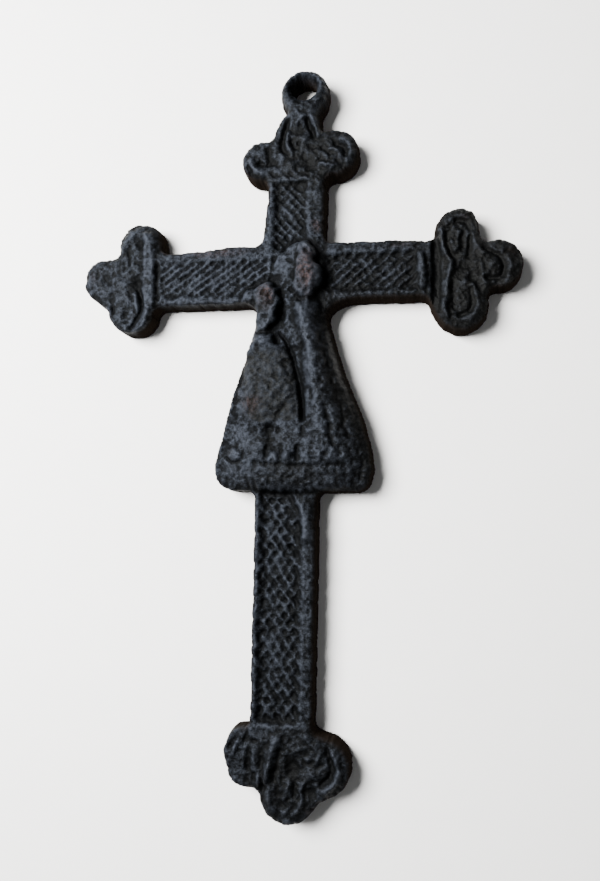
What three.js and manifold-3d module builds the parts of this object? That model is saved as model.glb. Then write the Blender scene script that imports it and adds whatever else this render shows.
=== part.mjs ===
// A pilgrim cross cast in one piece: four limbs with raised rails and latticed panels, trefoil ends,
// an eyelet above the top trefoil, and a robed mother and child in relief over the crossing.
// Millimetres, +Z out of the front. The back lies flat on Z = 0, under the middle of the cross.
import * as THREE from 'three';
import { mergeVertices } from 'three/addons/utils/BufferGeometryUtils.js';
import Module from 'manifold-3d';

const wasm = await Module();
wasm.setup();

// Section shared by the limbs
const THICK = 3.3; // back to the top of the rails
const RECESS = 0.5; // rail top down to the panel
const RAIL = 0.75; // flat top of a rail
const RAIL_SLOPE = 0.35; // inner slope of a rail, seen from the front
const BEVEL = 0.3; // softened outer edge, across and down
const DRAFT = 0.2; // how far the back edge stands out past the front edge

// Limbs: half width at the front edge, and how far the middle of the limb is off the crossing
const SHAFT_HALF = 3.6;
const SHAFT_OFF = -0.4;
const SHAFT_PANEL_OFF = -0.35; // the left rail of the shaft is the narrow one
const NECK_HALF = 3.45;
const NECK_OFF = 0.15;
const ARM_HALF = 3.2;
const LEFT_OFF = 0.15;
const RIGHT_OFF = 0.35;

// Concave corners between the limbs: how far each reaches along the arm and along the neck or the skirt
const UPPER_RIGHT_CORNER = { arm: 1.3, upright: 1.3 };
const UPPER_LEFT_CORNER = { arm: 1.5, upright: 2 };
const LOWER_LEFT_CORNER = { arm: 2.4, upright: 2.2 };
const LOWER_RIGHT_CORNER = { arm: 4.4, upright: 2.4 };
const PANEL_START = 4.6; // where the panels beside the figures start, off the crossing

// Lattice of crossing strands in the panels, left standing between lozenge pits
const STRAND_TOP = 0.3; // width on top
const STRAND_ROOT = 0.65; // width at the floor of the pits
const PIT_DEPTH = 0.4;
const STRAND_PITCH = 1.32;
const STRAND_LEAN = 38; // degrees from the limb's own line

// Trefoil ends. Reach is from the crossing to the outermost point, back is from there inwards,
// off is across the limb, and panel is where the limb's latticed panel stops
const LEFT_END = {
  reach: 27.6,
  panel: 10.6,
  tip: { r: 3, off: 0.45 },
  sides: [{ r: 3.05, back: 7.7, off: 4.8 }, { r: 3.1, back: 6.7, off: -3.6 }],
};
const RIGHT_END = {
  reach: 27.3,
  panel: 12.2,
  tip: { r: 3.05, off: 0.8 },
  sides: [{ r: 2.9, back: 7.5, off: 4.9 }, { r: 3.3, back: 7.2, off: -3.85 }],
};
const TOP_END = {
  reach: 21.1,
  panel: 9.2,
  tip: { r: 3.05, off: 0.2 },
  sides: [{ r: 2.7, back: 6.1, off: -4.25 }, { r: 3, back: 5.5, off: 4.9 }],
};
const FOOT_END = {
  reach: 64.7,
  panel: 11.6,
  tip: { r: 3.4, off: 0.5 },
  sides: [{ r: 3.5, back: 7.35, off: -4 }, { r: 3.6, back: 6.8, off: 4.3 }],
};
const HUB_R = 3.3; // disc that fills a trefoil between its lobes
const LOBE_ROUND = 0.85; // rounded shoulder around a lobe
const CHAMFER_SHARE = 0.3; // share of the shoulder that its steep lower part takes across
const LOBE_WALL = THICK / 3; // height of a lobe's straight side
const LOBE_GROOVE = 0.75; // depth of the ring groove around a lobe's boss
const GROOVE_WIDTH = 0.95;
const BOSS_SHARE = 0.3; // share of the lobe's radius that its middle boss takes
const BOSS_TOP_SHARE = 0.7; // top of the boss over its foot
const COLLAR = 1.1; // ridge across an arm's trefoil, between two grooves
const COLLAR_BACK = 9;
const COLLAR_GROOVE = 0.75;
const STOP = 0.9; // low bar that closes the right arm's panel

// Eyelet: a barrel-shaped ring with an oval mouth that flares to both faces
const TOP_REACH = 26.5;
const EYE_R = 3.25;
const EYE_THICK = 3.9;
const EYE_OFF = 1;
const EYE_SHOULDER = 0.55;
const WAIST_SHARE = 0.6; // how far in the barrel's rim starts, in shoulders
const FACE_SHARE = 1.6; // how far in the flat face starts, in shoulders
const MOUTH_R = 2;
const BORE_R = 1.35;
const BORE_SHARE = 0.8; // height of the bore over its width
const BORE_RAISED = 0.45; // the thick side of the ring is towards the trefoil
const EYE_NECK = 4.4; // width of the web that joins the eyelet to the lobe below it

// The figures keep their proportions as shares of the height from hem to crown
const FIGURE = 31;
const HEM_BELOW = 26.4; // hem line below the crossing
const SHOULDER_SHARE = 0.137; // half width of the figures where the arms' lower edges meet them

// Buttons and pleats of the skirt, also as shares of that height
const BUTTON_COUNT = 7;
const BUTTON_FIRST_SHARE = -0.14; // across, off the middle of the cross
const BUTTON_PITCH_SHARE = 0.052;
const BUTTON_ROW_SHARE = 0.142; // above the hem
const BUTTON_TOP_SHARE = 0.158; // middle of the tallest button, above the back
const BUTTON_FALL_SHARE = 0.004; // how much lower each next button outwards sits
const BUTTON_SHARES = { across: 0.014, up: 0.032, out: 0.012 };
const PLEAT_COUNT = 15;
const PLEAT_SPREAD_SHARE = 0.56; // width of the pleated band
const PLEAT_OFF_SHARE = 0.01;
const PLEAT_ROW_SHARE = 0.045;
const PLEAT_LENGTH_SHARE = 0.085;
const PLEAT_GROOVE = 0.2; // radius of the groove between two pleats, a length like those above

const CROSSING = new THREE.Vector2((LEFT_END.reach - RIGHT_END.reach) / 2, (FOOT_END.reach - TOP_REACH) / 2);
const PANEL_Z = THICK - RECESS;
const SUNK = 0.4; // how far joined pieces reach into each other
const LOBE_SIDES = 14;
const EYE_SIDES = 20;
const BORE_SIDES = 18;
const FILLET_SIDES = 5;
const LUMP_SIDES = 8;
const LUMP_RINGS = 6;
const BUTTON_SIDES = 6;
const BUTTON_RINGS = 4;

// A closed geometry as a solid that can be joined and cut
function solid(geometry) {
  const bare = geometry.clone();
  bare.deleteAttribute('normal');
  bare.deleteAttribute('uv');
  const merged = mergeVertices(bare);
  const ids = merged.index.array;
  const triVerts = [];
  for (let i = 0; i < ids.length; i += 3) {
    const [a, b, c] = ids.slice(i, i + 3);
    if (a !== b && b !== c && c !== a) {
      triVerts.push(a, b, c);
    }
  }
  const vertProperties = Float32Array.from(merged.attributes.position.array);
  const mesh = new wasm.Mesh({ numProp: 3, vertProperties, triVerts: Uint32Array.from(triVerts) });
  return new wasm.Manifold(mesh);
}

const joined = (solids) => solids.reduce((whole, next) => whole.add(next));
const placed = (geometry, x, y, z = 0) => solid(geometry.translate(x, y, z));
const radians = THREE.MathUtils.degToRad;

// A block between two heights, centred on x and y
function block(width, length, low, high) {
  return new THREE.BoxGeometry(width, length, high - low).translate(0, 0, (low + high) / 2);
}

// A solid of revolution about Z, from [radius, height] pairs
function turned(profile, sides = LOBE_SIDES) {
  const points = profile.map(([radius, height]) => new THREE.Vector2(radius, height));
  return new THREE.LatheGeometry(points, sides).rotateX(Math.PI / 2);
}

// A solid through closed rings of one count, each running over the top in +X and back below
function lofted(rings) {
  const count = rings[0].length;
  const points = rings.flat();
  const faces = [];
  for (let i = 0; i < rings.length - 1; i += 1) {
    for (let j = 0; j < count; j += 1) {
      const a = i * count + j;
      const b = i * count + ((j + 1) % count);
      faces.push(a, b, b + count, a, b + count, a + count);
    }
  }
  const middle = (ring) => ring.reduce((sum, p) => sum.add(p), new THREE.Vector3()).divideScalar(count);
  const last = points.length - count;
  points.push(middle(rings[0]), middle(rings.at(-1)));
  for (let j = 0; j < count; j += 1) {
    const next = (j + 1) % count;
    faces.push(next, j, points.length - 2);
    faces.push(last + j, last + next, points.length - 1);
  }
  const geometry = new THREE.BufferGeometry().setFromPoints(points);
  return geometry.setIndex(faces);
}

// The lozenge pits that leave crossing strands in a panel from near to far, its middle off the limb's
function lattice(half, near, far, off) {
  const lean = radians(STRAND_LEAN);
  const cellX = STRAND_PITCH / Math.cos(lean);
  const cellY = STRAND_PITCH / Math.sin(lean);
  const mouth = 1 - STRAND_TOP / STRAND_PITCH;
  const floor = 1 - STRAND_ROOT / STRAND_PITCH;
  const rows = Math.ceil((far - near) / (cellY / 2));
  const columns = Math.ceil(half / cellX);
  const pits = [];
  for (let row = 0; row <= rows; row += 1) {
    for (let column = -columns; column <= columns; column += 1) {
      const pit = new THREE.CylinderGeometry(mouth / 2, floor / 2, PIT_DEPTH, 4);
      pit.rotateX(Math.PI / 2).scale(cellX, cellY, 1);
      const x = off + (column + (row % 2) / 2) * cellX;
      pits.push(placed(pit, x, near + (row * cellY) / 2, PANEL_Z - PIT_DEPTH / 2));
    }
  }
  const window = block(2 * half, far - near, PANEL_Z - 2 * PIT_DEPTH, THICK);
  return joined(pits).intersect(placed(window, off, (near + far) / 2));
}

// A limb along +Y: flat bar from near to far, a rail along each side, latticed panel between them
function limb({ half, near, far, panelFrom, panelTo, panelOff = 0 }) {
  const panelHalf = half - BEVEL - RAIL - RAIL_SLOPE;
  const flank = [
    [half + DRAFT, 0],
    [half, THICK - BEVEL],
    [half - BEVEL, THICK],
  ];
  const inner = [
    [panelHalf + RAIL_SLOPE, THICK],
    [panelHalf, PANEL_Z],
  ];
  const side = (hand) => {
    const shifted = inner.map(([x, z]) => [x + hand * panelOff, z]);
    return [...flank, ...shifted].map(([x, z]) => new THREE.Vector2(hand * x, z));
  };
  const outline = [...side(1), ...side(-1).reverse()];
  const bar = new THREE.ExtrudeGeometry(new THREE.Shape(outline), { depth: far - near, bevelEnabled: false });
  bar.rotateX(Math.PI / 2).translate(0, far, 0);
  return solid(bar).subtract(lattice(panelHalf - STRAND_TOP / 2, panelFrom, panelTo, panelOff));
}

// One lobe of a trefoil with its rounded shoulder
function lobe(radius, x, y) {
  const profile = [
    [0, 0],
    [radius, 0],
    [radius, LOBE_WALL],
    [radius - CHAMFER_SHARE * LOBE_ROUND, THICK - LOBE_ROUND],
    [radius - LOBE_ROUND, THICK],
    [0, THICK],
  ];
  return placed(turned(profile), x, y);
}

// The ring groove that leaves a boss in the middle of a lobe
function ringGroove(radius, x, y) {
  const bossR = radius * BOSS_SHARE;
  const bossTop = bossR * BOSS_TOP_SHARE;
  const floor = THICK - LOBE_GROOVE;
  const profile = [
    [bossTop, THICK],
    [bossR, floor],
    [bossR + GROOVE_WIDTH / 2, floor],
    [bossR + GROOVE_WIDTH, THICK],
    [bossR + GROOVE_WIDTH, THICK + SUNK],
    [bossTop, THICK + SUNK],
    [bossTop, THICK],
  ];
  return placed(turned(profile), x, y);
}

// Three lobes about the end of a limb along +Y; hand turns offsets of the cross into the limb's own
function trefoil({ reach, tip, sides }, hand) {
  const lobes = [{ ...tip, back: tip.r }, ...sides].map(({ r, back, off }) => [r, hand * off, reach - back]);
  const [first, second] = sides;
  const hub = lobe(HUB_R, hand * tip.off, reach - (first.back + second.back) / 2);
  const body = joined(lobes.map((size) => lobe(...size))).add(hub);
  return body.subtract(joined(lobes.map((size) => ringGroove(...size))));
}

// A bar or a groove's cutter straight across a limb
function crossBar(width, length, low, high, y) {
  return placed(block(length, width, low, high), 0, y);
}

// The eyelet before its bore
function eyeletBody() {
  const waistR = EYE_R - WAIST_SHARE * EYE_SHOULDER;
  const faceR = EYE_R - FACE_SHARE * EYE_SHOULDER;
  const profile = [
    [0, 0],
    [faceR, 0],
    [waistR, EYE_SHOULDER],
    [EYE_R, EYE_THICK / 2],
    [waistR, EYE_THICK - EYE_SHOULDER],
    [faceR, EYE_THICK],
    [0, EYE_THICK],
  ];
  return turned(profile, EYE_SIDES);
}

// The cutter for the flared, oval bore
function eyeletBore() {
  const throatR = (MOUTH_R + BORE_R) / 2;
  const profile = [
    [0, -SUNK],
    [MOUTH_R, -SUNK],
    [MOUTH_R, 0],
    [throatR, EYE_THICK / 4],
    [BORE_R, EYE_THICK / 2],
    [throatR, EYE_THICK * (3 / 4)],
    [MOUTH_R, EYE_THICK],
    [MOUTH_R, EYE_THICK + SUNK],
    [0, EYE_THICK + SUNK],
  ];
  return turned(profile, BORE_SIDES).scale(1, BORE_SHARE, 1);
}

// The concave corner between an arm and the upright, turned by quarters from the upper right
function cornerFillet(quarter, { arm, upright }) {
  const [reachX, reachY] = quarter % 2 ? [upright, arm] : [arm, upright];
  const shape = new THREE.Shape();
  shape.moveTo(-SUNK, -SUNK);
  shape.lineTo(reachX, -SUNK);
  shape.lineTo(reachX, 0);
  shape.absellipse(reachX, reachY, reachX, reachY, -Math.PI / 2, -Math.PI, true);
  shape.lineTo(-SUNK, reachY);
  const settings = { depth: THICK - BEVEL, bevelEnabled: false, curveSegments: FILLET_SIDES };
  return new THREE.ExtrudeGeometry(shape, settings).rotateZ(quarter * Math.PI / 2);
}

const share = (value) => value * FIGURE;
const figureY = (value) => share(value) - HEM_BELOW;

// A swelling of the relief through rows of [height, left, right, top]; crest says how far across its
// ridge stands, and a lower sharp gives it fuller sides
function swelling(rows, { crest = 0.5, columns = 10, sharp = 0.6 } = {}) {
  const rings = rows.map(([height, left, right, top]) => {
    const ring = [];
    for (let k = 0; k <= columns; k += 1) {
      const u = k / columns;
      const v = u < crest ? u / crest : (1 - u) / (1 - crest);
      const rise = Math.sin((v * Math.PI) / 2) ** sharp;
      const x = THREE.MathUtils.lerp(share(left), share(right), u);
      ring.push(new THREE.Vector3(x, figureY(height), THREE.MathUtils.lerp(PANEL_Z, share(top), rise)));
    }
    ring.push(new THREE.Vector3(share(right), figureY(height), 0));
    ring.push(new THREE.Vector3(share(left), figureY(height), 0));
    return ring;
  });
  return solid(lofted(rings));
}

// A rounded lump of the relief: centre, then its half sizes
function lump(x, height, z, halfX, halfY, halfZ) {
  const ball = new THREE.SphereGeometry(1, LUMP_SIDES, LUMP_RINGS).rotateX(Math.PI / 2);
  ball.scale(share(halfX), share(halfY), share(halfZ));
  return placed(ball, share(x), figureY(height), share(z));
}

// The mother: skirt, mantle with its front fold, veil, head and crown
function mother() {
  const skirt = swelling([
    [0.003, -0.225, 0.262, 0.15],
    [0.022, -0.272, 0.3, 0.154],
    [0.05, -0.296, 0.317, 0.156],
    [0.1, -0.304, 0.325, 0.152],
    [0.18, -0.284, 0.312, 0.145],
    [0.27, -0.258, 0.286, 0.125],
    [0.37, -0.23, 0.245, 0.12],
    [0.46, -0.202, 0.21, 0.12],
    [0.57, -0.17, 0.172, 0.12],
    [0.69, -0.142, 0.138, 0.11],
  ], { columns: 10, sharp: 0.45 });
  const mantle = swelling([
    [0.09, 0.05, 0.32, 0.155],
    [0.165, 0.053, 0.309, 0.166],
    [0.28, 0.055, 0.283, 0.174],
    [0.335, 0.058, 0.262, 0.176],
    [0.41, 0.05, 0.23, 0.176],
    [0.49, 0.033, 0.198, 0.174],
    [0.57, 0.006, 0.172, 0.17],
    [0.66, -0.01, 0.14, 0.165],
    [0.72, -0.025, 0.122, 0.155],
    [0.77, -0.035, 0.112, 0.14],
  ], { crest: 0.2, columns: 10, sharp: 0.55 });
  const veil = swelling([
    [0.66, -0.01, 0.055, 0.17],
    [0.74, -0.022, 0.075, 0.168],
    [0.82, -0.044, 0.115, 0.158],
    [0.9, -0.068, 0.118, 0.145],
    [0.95, -0.05, 0.1, 0.14],
    [0.995, 0.01, 0.07, 0.128],
  ], { crest: 0.4, columns: 8, sharp: 0.6 });
  const brow = lump(0.07, 0.872, 0.136, 0.04, 0.045, 0.042);
  const face = lump(0.072, 0.832, 0.139, 0.046, 0.062, 0.046);
  const chin = lump(0.062, 0.785, 0.138, 0.034, 0.03, 0.034);
  const crown = lump(0.05, 0.945, 0.128, 0.034, 0.036, 0.036);
  return joined([skirt, mantle, veil, brow, face, chin, crown]);
}

// The child on the mother's arm: robe panel with its free edge, shoulders and crowned head
function child() {
  const robe = swelling([
    [0.272, -0.13, 0.03, 0.152],
    [0.29, -0.2, 0.044, 0.155],
    [0.318, -0.236, 0.046, 0.157],
    [0.355, -0.23, 0.044, 0.158],
    [0.43, -0.21, 0.032, 0.158],
    [0.51, -0.188, 0.012, 0.155],
    [0.575, -0.164, -0.012, 0.15],
    [0.602, -0.14, -0.05, 0.14],
  ], { crest: 0.72, columns: 10, sharp: 0.5 });
  const shoulders = swelling([
    [0.575, -0.15, -0.05, 0.14],
    [0.63, -0.14, -0.055, 0.145],
    [0.68, -0.128, -0.055, 0.15],
  ], { columns: 8, sharp: 0.5 });
  const face = lump(-0.096, 0.73, 0.135, 0.038, 0.056, 0.04);
  const chin = lump(-0.1, 0.682, 0.13, 0.03, 0.034, 0.034);
  const cap = lump(-0.096, 0.775, 0.135, 0.041, 0.04, 0.038);
  return joined([robe, shoulders, face, chin, cap]);
}

// Buttons in a row above the hem of the skirt
function buttons() {
  const row = [];
  const tallest = (BUTTON_COUNT - 1) / 2;
  for (let k = 0; k < BUTTON_COUNT; k += 1) {
    const button = new THREE.SphereGeometry(1, BUTTON_SIDES, BUTTON_RINGS);
    button.scale(share(BUTTON_SHARES.across), share(BUTTON_SHARES.up), share(BUTTON_SHARES.out));
    const x = share(BUTTON_FIRST_SHARE + BUTTON_PITCH_SHARE * k);
    const top = BUTTON_TOP_SHARE - BUTTON_FALL_SHARE * Math.abs(k - tallest);
    row.push(placed(button, x, figureY(BUTTON_ROW_SHARE), share(top)));
  }
  return joined(row);
}

// Narrow grooves that part the pleats of the hem band
function pleatGrooves() {
  const grooves = [];
  for (let k = 0; k < PLEAT_COUNT; k += 1) {
    const u = (k + 0.5) / PLEAT_COUNT - 0.5;
    const groove = new THREE.CylinderGeometry(PLEAT_GROOVE, PLEAT_GROOVE, share(PLEAT_LENGTH_SHARE), 3);
    groove.rotateY(Math.PI);
    const top = THREE.MathUtils.lerp(share(BUTTON_TOP_SHARE), THICK, Math.abs(2 * u) ** 3);
    grooves.push(placed(groove, share(PLEAT_OFF_SHARE + PLEAT_SPREAD_SHARE * u), figureY(PLEAT_ROW_SHARE), top));
  }
  return joined(grooves);
}

// A finished solid turned about Z and then moved
function moved(body, turn, x, y) {
  const { vertProperties, triVerts } = body.getMesh();
  const geometry = new THREE.BufferGeometry();
  geometry.setAttribute('position', new THREE.BufferAttribute(Float32Array.from(vertProperties), 3));
  geometry.rotateZ(turn).translate(x, y, 0);
  const points = geometry.attributes.position.array;
  return new wasm.Manifold(new wasm.Mesh({ numProp: 3, vertProperties: points, triVerts }));
}

// An arm with its trefoil and the ridge across it; hand is 1 on the left and -1 on the right
function arm(end, off, hand) {
  const bar = limb({
    half: ARM_HALF,
    near: NECK_HALF - SUNK,
    far: end.reach - end.sides[0].back,
    panelFrom: PANEL_START,
    panelTo: end.reach - end.panel,
  });
  const ridge = end.reach - COLLAR_BACK;
  const spread = (COLLAR + COLLAR_GROOVE) / 2;
  const across = 2 * ARM_HALF;
  const [inner, outer] = [ridge - spread, ridge + spread].map((y) => (
    crossBar(COLLAR_GROOVE, across - RAIL, PANEL_Z - SUNK, THICK + SUNK, y)));
  const collar = crossBar(COLLAR, across + COLLAR, PANEL_Z - SUNK, THICK + BEVEL / 2, ridge);
  const turn = hand * Math.PI / 2;
  const body = moved(bar, turn, 0, off).add(moved(trefoil(end, hand), turn, 0, 0));
  return body.subtract(moved(inner.add(outer), turn, 0, off)).add(moved(collar, turn, 0, off));
}

// The low bar that closes the right arm's panel
function stopBar() {
  const y = RIGHT_END.reach - RIGHT_END.panel + STOP / 2;
  const bar = crossBar(STOP, 2 * (ARM_HALF - RAIL), PANEL_Z - SUNK, THICK + BEVEL / 2, y);
  return moved(bar, -Math.PI / 2, 0, RIGHT_OFF);
}

// The long lower limb with its trefoil
function shaft() {
  const bar = limb({
    half: SHAFT_HALF,
    near: ARM_HALF - SUNK,
    far: FOOT_END.reach - FOOT_END.sides[0].back,
    panelFrom: HEM_BELOW,
    panelTo: FOOT_END.reach - FOOT_END.panel,
    panelOff: -SHAFT_PANEL_OFF,
  });
  const end = moved(trefoil(FOOT_END, -1), Math.PI, 0, 0);
  return moved(bar, Math.PI, SHAFT_OFF, 0).add(end);
}

// The upper limb with its trefoil and the eyelet
function neck() {
  const eyeY = TOP_REACH - EYE_R;
  const bar = limb({
    half: NECK_HALF,
    near: ARM_HALF - SUNK,
    far: TOP_END.reach - TOP_END.sides[0].back,
    panelFrom: PANEL_START,
    panelTo: TOP_END.reach - TOP_END.panel,
  });
  const webLength = eyeY - TOP_END.reach + TOP_END.tip.r;
  const web = placed(block(EYE_NECK, webLength, SUNK, THICK - BEVEL), EYE_OFF, eyeY - webLength / 2);
  const body = moved(bar, 0, NECK_OFF, 0).add(trefoil(TOP_END, 1)).add(web);
  const eye = placed(eyeletBody(), EYE_OFF, eyeY);
  return body.add(eye).subtract(placed(eyeletBore(), EYE_OFF, eyeY + BORE_RAISED));
}

function wholeCross() {
  const middle = placed(block(2 * NECK_HALF, 2 * ARM_HALF, 0, PANEL_Z), 0, LEFT_OFF);
  const limbs = [shaft(), neck(), arm(LEFT_END, LEFT_OFF, 1), arm(RIGHT_END, RIGHT_OFF, -1), stopBar()];
  const shoulder = share(SHOULDER_SHARE);
  const corners = [
    placed(cornerFillet(0, UPPER_RIGHT_CORNER), NECK_OFF + NECK_HALF, RIGHT_OFF + ARM_HALF),
    placed(cornerFillet(1, UPPER_LEFT_CORNER), NECK_OFF - NECK_HALF, LEFT_OFF + ARM_HALF),
    placed(cornerFillet(2, LOWER_LEFT_CORNER), -shoulder, LEFT_OFF - ARM_HALF),
    placed(cornerFillet(3, LOWER_RIGHT_CORNER), shoulder, RIGHT_OFF - ARM_HALF),
  ];
  const figures = mother().add(child()).add(buttons()).subtract(pleatGrooves());
  return joined([middle, ...limbs, ...corners, figures]);
}

const { vertProperties, triVerts } = wholeCross().getMesh();
const geometry = new THREE.BufferGeometry();
geometry.setAttribute('position', new THREE.BufferAttribute(Float32Array.from(vertProperties), 3));
geometry.setIndex(new THREE.BufferAttribute(Uint32Array.from(triVerts), 1));
geometry.computeVertexNormals();

const iron = new THREE.MeshStandardMaterial({ color: 0x2c2d31, roughness: 0.55, metalness: 0.85 });
const cross = new THREE.Mesh(geometry, iron);
cross.name = 'pilgrim_cross';
cross.position.set(CROSSING.x, CROSSING.y, 0);

const part = new THREE.Group();
part.add(cross);
export default part;
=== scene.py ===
"""A worn cast-iron pilgrim cross, lying on its back.

It has trefoil ends, lattice panels, a mother and child over the crossing, and a hanging eyelet. Sizes are in
mm, and places are in mm from the crossing of the limbs, until the mesh is made.
"""

import logging
import math
from collections.abc import Sequence
from dataclasses import dataclass, field
from enum import Enum

import bpy
import numpy as np
from mathutils import Matrix, Vector
from mathutils.bvhtree import BVHTree
from mathutils.geometry import delaunay_2d_cdt
from mathutils.kdtree import KDTree

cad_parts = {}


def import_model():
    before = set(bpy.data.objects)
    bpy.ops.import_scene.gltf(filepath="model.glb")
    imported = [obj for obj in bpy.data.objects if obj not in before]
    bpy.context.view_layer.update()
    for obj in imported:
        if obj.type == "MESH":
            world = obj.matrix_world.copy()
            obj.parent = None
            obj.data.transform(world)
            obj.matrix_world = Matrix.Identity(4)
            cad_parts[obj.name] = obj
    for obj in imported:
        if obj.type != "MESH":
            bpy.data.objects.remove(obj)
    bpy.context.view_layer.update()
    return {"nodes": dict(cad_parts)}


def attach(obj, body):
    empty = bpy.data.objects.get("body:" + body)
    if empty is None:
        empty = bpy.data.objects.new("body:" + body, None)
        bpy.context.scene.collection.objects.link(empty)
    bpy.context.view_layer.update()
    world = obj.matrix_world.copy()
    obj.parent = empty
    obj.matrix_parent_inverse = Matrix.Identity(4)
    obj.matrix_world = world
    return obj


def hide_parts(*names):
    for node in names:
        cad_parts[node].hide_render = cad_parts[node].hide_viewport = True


MM = 0.001  # a millimetre in metres
NODE = "pilgrim_cross"
PIECE = "cross_casting"
CROSSING = (0.15, 19.1)  # the crossing's place in the fixed frame, in mm
BELL_FALL = 1.6  # how steeply a bell falls off
FLAT_EDGES = (1.35, 0.65)  # where a flat-topped section starts and reaches its height, in half widths
CURVE_STEPS = 6  # new points for each stretch of a smooth curve
BLUR_REACH = 2.6  # how far a blur looks, in its own widths
STROKE_REACH = 1.4  # how far a stroke is pressed, in its own widths
MOUND_REACH = 2.2  # how far a mound is pressed, in its longer half width
FAR_OFF = 1e9
TINY = 1e-9

log = logging.getLogger("pilgrim cross")

Points = tuple[tuple[float, float], ...]  # (across, along)
Rows = tuple[tuple[float, float], ...]  # (position, size at it), in rising order of position
Lumps = tuple[float, float, int]  # height, size, seed
Pair = tuple[float, float]
Triple = tuple[float, float, float]
Stretch = tuple[float, float, float, float]  # from low to high, to low to high
Spot = tuple[slice, slice]  # rows and columns of the grid
Socket = bpy.types.NodeSocket


class Section(Enum):
    """The cross-section of a ridge, groove or mound."""

    BELL = "bell"
    ROUND = "round"
    FLAT = "flat"

    def weight(self, ratio: np.ndarray) -> np.ndarray:
        """Give the section's height, 0 to 1.

        Args:
            ratio: Distance from the middle as a share of the half width.

        Returns:
            The height share at each distance.
        """
        if self is Section.BELL:
            return np.exp(-BELL_FALL * ratio**2)
        if self is Section.ROUND:
            return np.sqrt(np.clip(1 - ratio**2, 0, 1))
        return smooth_step(*FLAT_EDGES, ratio)


def smooth_step(low: float, high: float, value: np.ndarray) -> np.ndarray:
    """Ease from 0 at low to 1 at high.

    Args:
        low: Where the result is 0.
        high: Where the result is 1; it may be less than low.
        value: The values to ease.

    Returns:
        The eased values, 0 to 1.
    """
    t = np.clip((value - low) / (high - low), 0, 1)
    return t * t * (3 - 2 * t)


def along(position: np.ndarray | float, rows: Rows) -> np.ndarray:
    """Read a size that changes along an axis.

    Args:
        position: Where to read it.
        rows: The size at some positions.

    Returns:
        The size at each position.
    """
    places, sizes = zip(*rows)
    return np.interp(position, places, sizes)


def bulging(out: np.ndarray, powers: Pair) -> np.ndarray:
    """Give the height share of a bulging slope.

    Args:
        out: How far out each place lies, 0 to 1.
        powers: How late the slope falls, and how full it stays.

    Returns:
        The share, 1 at the inner side and 0 at the outer side.
    """
    late, full = powers
    return (1 - out**late) ** full


def blurred(values: np.ndarray, sigma: float) -> np.ndarray:
    """Blur a grid with a round bell.

    Args:
        values: The grid.
        sigma: The bell's width in grid steps.

    Returns:
        The blurred grid.
    """
    reach = max(1, int(math.ceil(BLUR_REACH * sigma)))
    taps = np.exp(-0.5 * (np.arange(-reach, reach + 1) / sigma) ** 2)
    taps /= taps.sum()
    result = values
    for axis in (0, 1):
        widths = [(0, 0), (0, 0)]
        widths[axis] = (reach, reach)
        padded = np.pad(result, widths, mode="edge")
        length = result.shape[axis]
        shifted = (np.take(padded, np.arange(k, k + length), axis=axis) for k in range(len(taps)))
        result = sum(tap * part for tap, part in zip(taps, shifted))
    return result


def smooth_curve(points: Points) -> np.ndarray:
    """Draw a smooth curve through points.

    Args:
        points: The points to pass through.

    Returns:
        The curve's points, one a row.
    """
    given = np.array(points, float)
    if len(given) < 3:
        return given
    ends = np.vstack([2 * given[0] - given[1], given, 2 * given[-1] - given[-2]])
    curve = []
    for before, here, after, beyond in zip(ends[:-3], ends[1:-2], ends[2:-1], ends[3:]):
        for t in np.arange(CURVE_STEPS) / CURVE_STEPS:
            bend = 2 * here + (after - before) * t
            bend = bend + (2 * before - 5 * here + 4 * after - beyond) * t**2
            curve.append(0.5 * (bend + (3 * here - before - 3 * after + beyond) * t**3))
    curve.append(given[-1])
    return np.array(curve)


def curve_distance(curve: np.ndarray, x: np.ndarray, y: np.ndarray) -> np.ndarray:
    """Measure how far places lie from a curve.

    Args:
        curve: The curve's points, one a row.
        x: The places across.
        y: The places along.

    Returns:
        The distance of each place to the nearest stretch.
    """
    nearest = np.full(x.shape, FAR_OFF)
    for start, end in zip(curve[:-1], curve[1:]):
        run = end - start
        t = ((x - start[0]) * run[0] + (y - start[1]) * run[1]) / max(float(run @ run), TINY)
        t = np.clip(t, 0, 1)
        nearest = np.minimum(nearest, np.hypot(x - start[0] - t * run[0], y - start[1] - t * run[1]))
    return nearest


def inside_loops(starts: np.ndarray, ends: np.ndarray, x: np.ndarray, y: np.ndarray) -> np.ndarray:
    """Say which places lie inside closed loops.

    Args:
        starts: The first point of each stretch of the loops.
        ends: The last point of each stretch.
        x: The places across.
        y: The places along.

    Returns:
        True for the places inside.
    """
    inside = np.zeros(x.shape, bool)
    for start, end in zip(starts, ends):
        if start[1] != end[1]:
            crossed = start[0] + (end[0] - start[0]) * (y - start[1]) / (end[1] - start[1])
            inside ^= ((start[1] > y) != (end[1] > y)) & (x < crossed)
    return inside


def nearest_distance(targets: np.ndarray, places: np.ndarray) -> np.ndarray:
    """Measure how far places lie from the nearest of some points.

    Args:
        targets: The points, one a row.
        places: The places, one a row.

    Returns:
        The distance of each place.
    """
    tree = KDTree(len(targets))
    for k, point in enumerate(targets.tolist()):
        tree.insert((*point, 0), k)
    tree.balance()
    return np.array([tree.find((*place, 0))[2] for place in places.tolist()])


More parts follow.
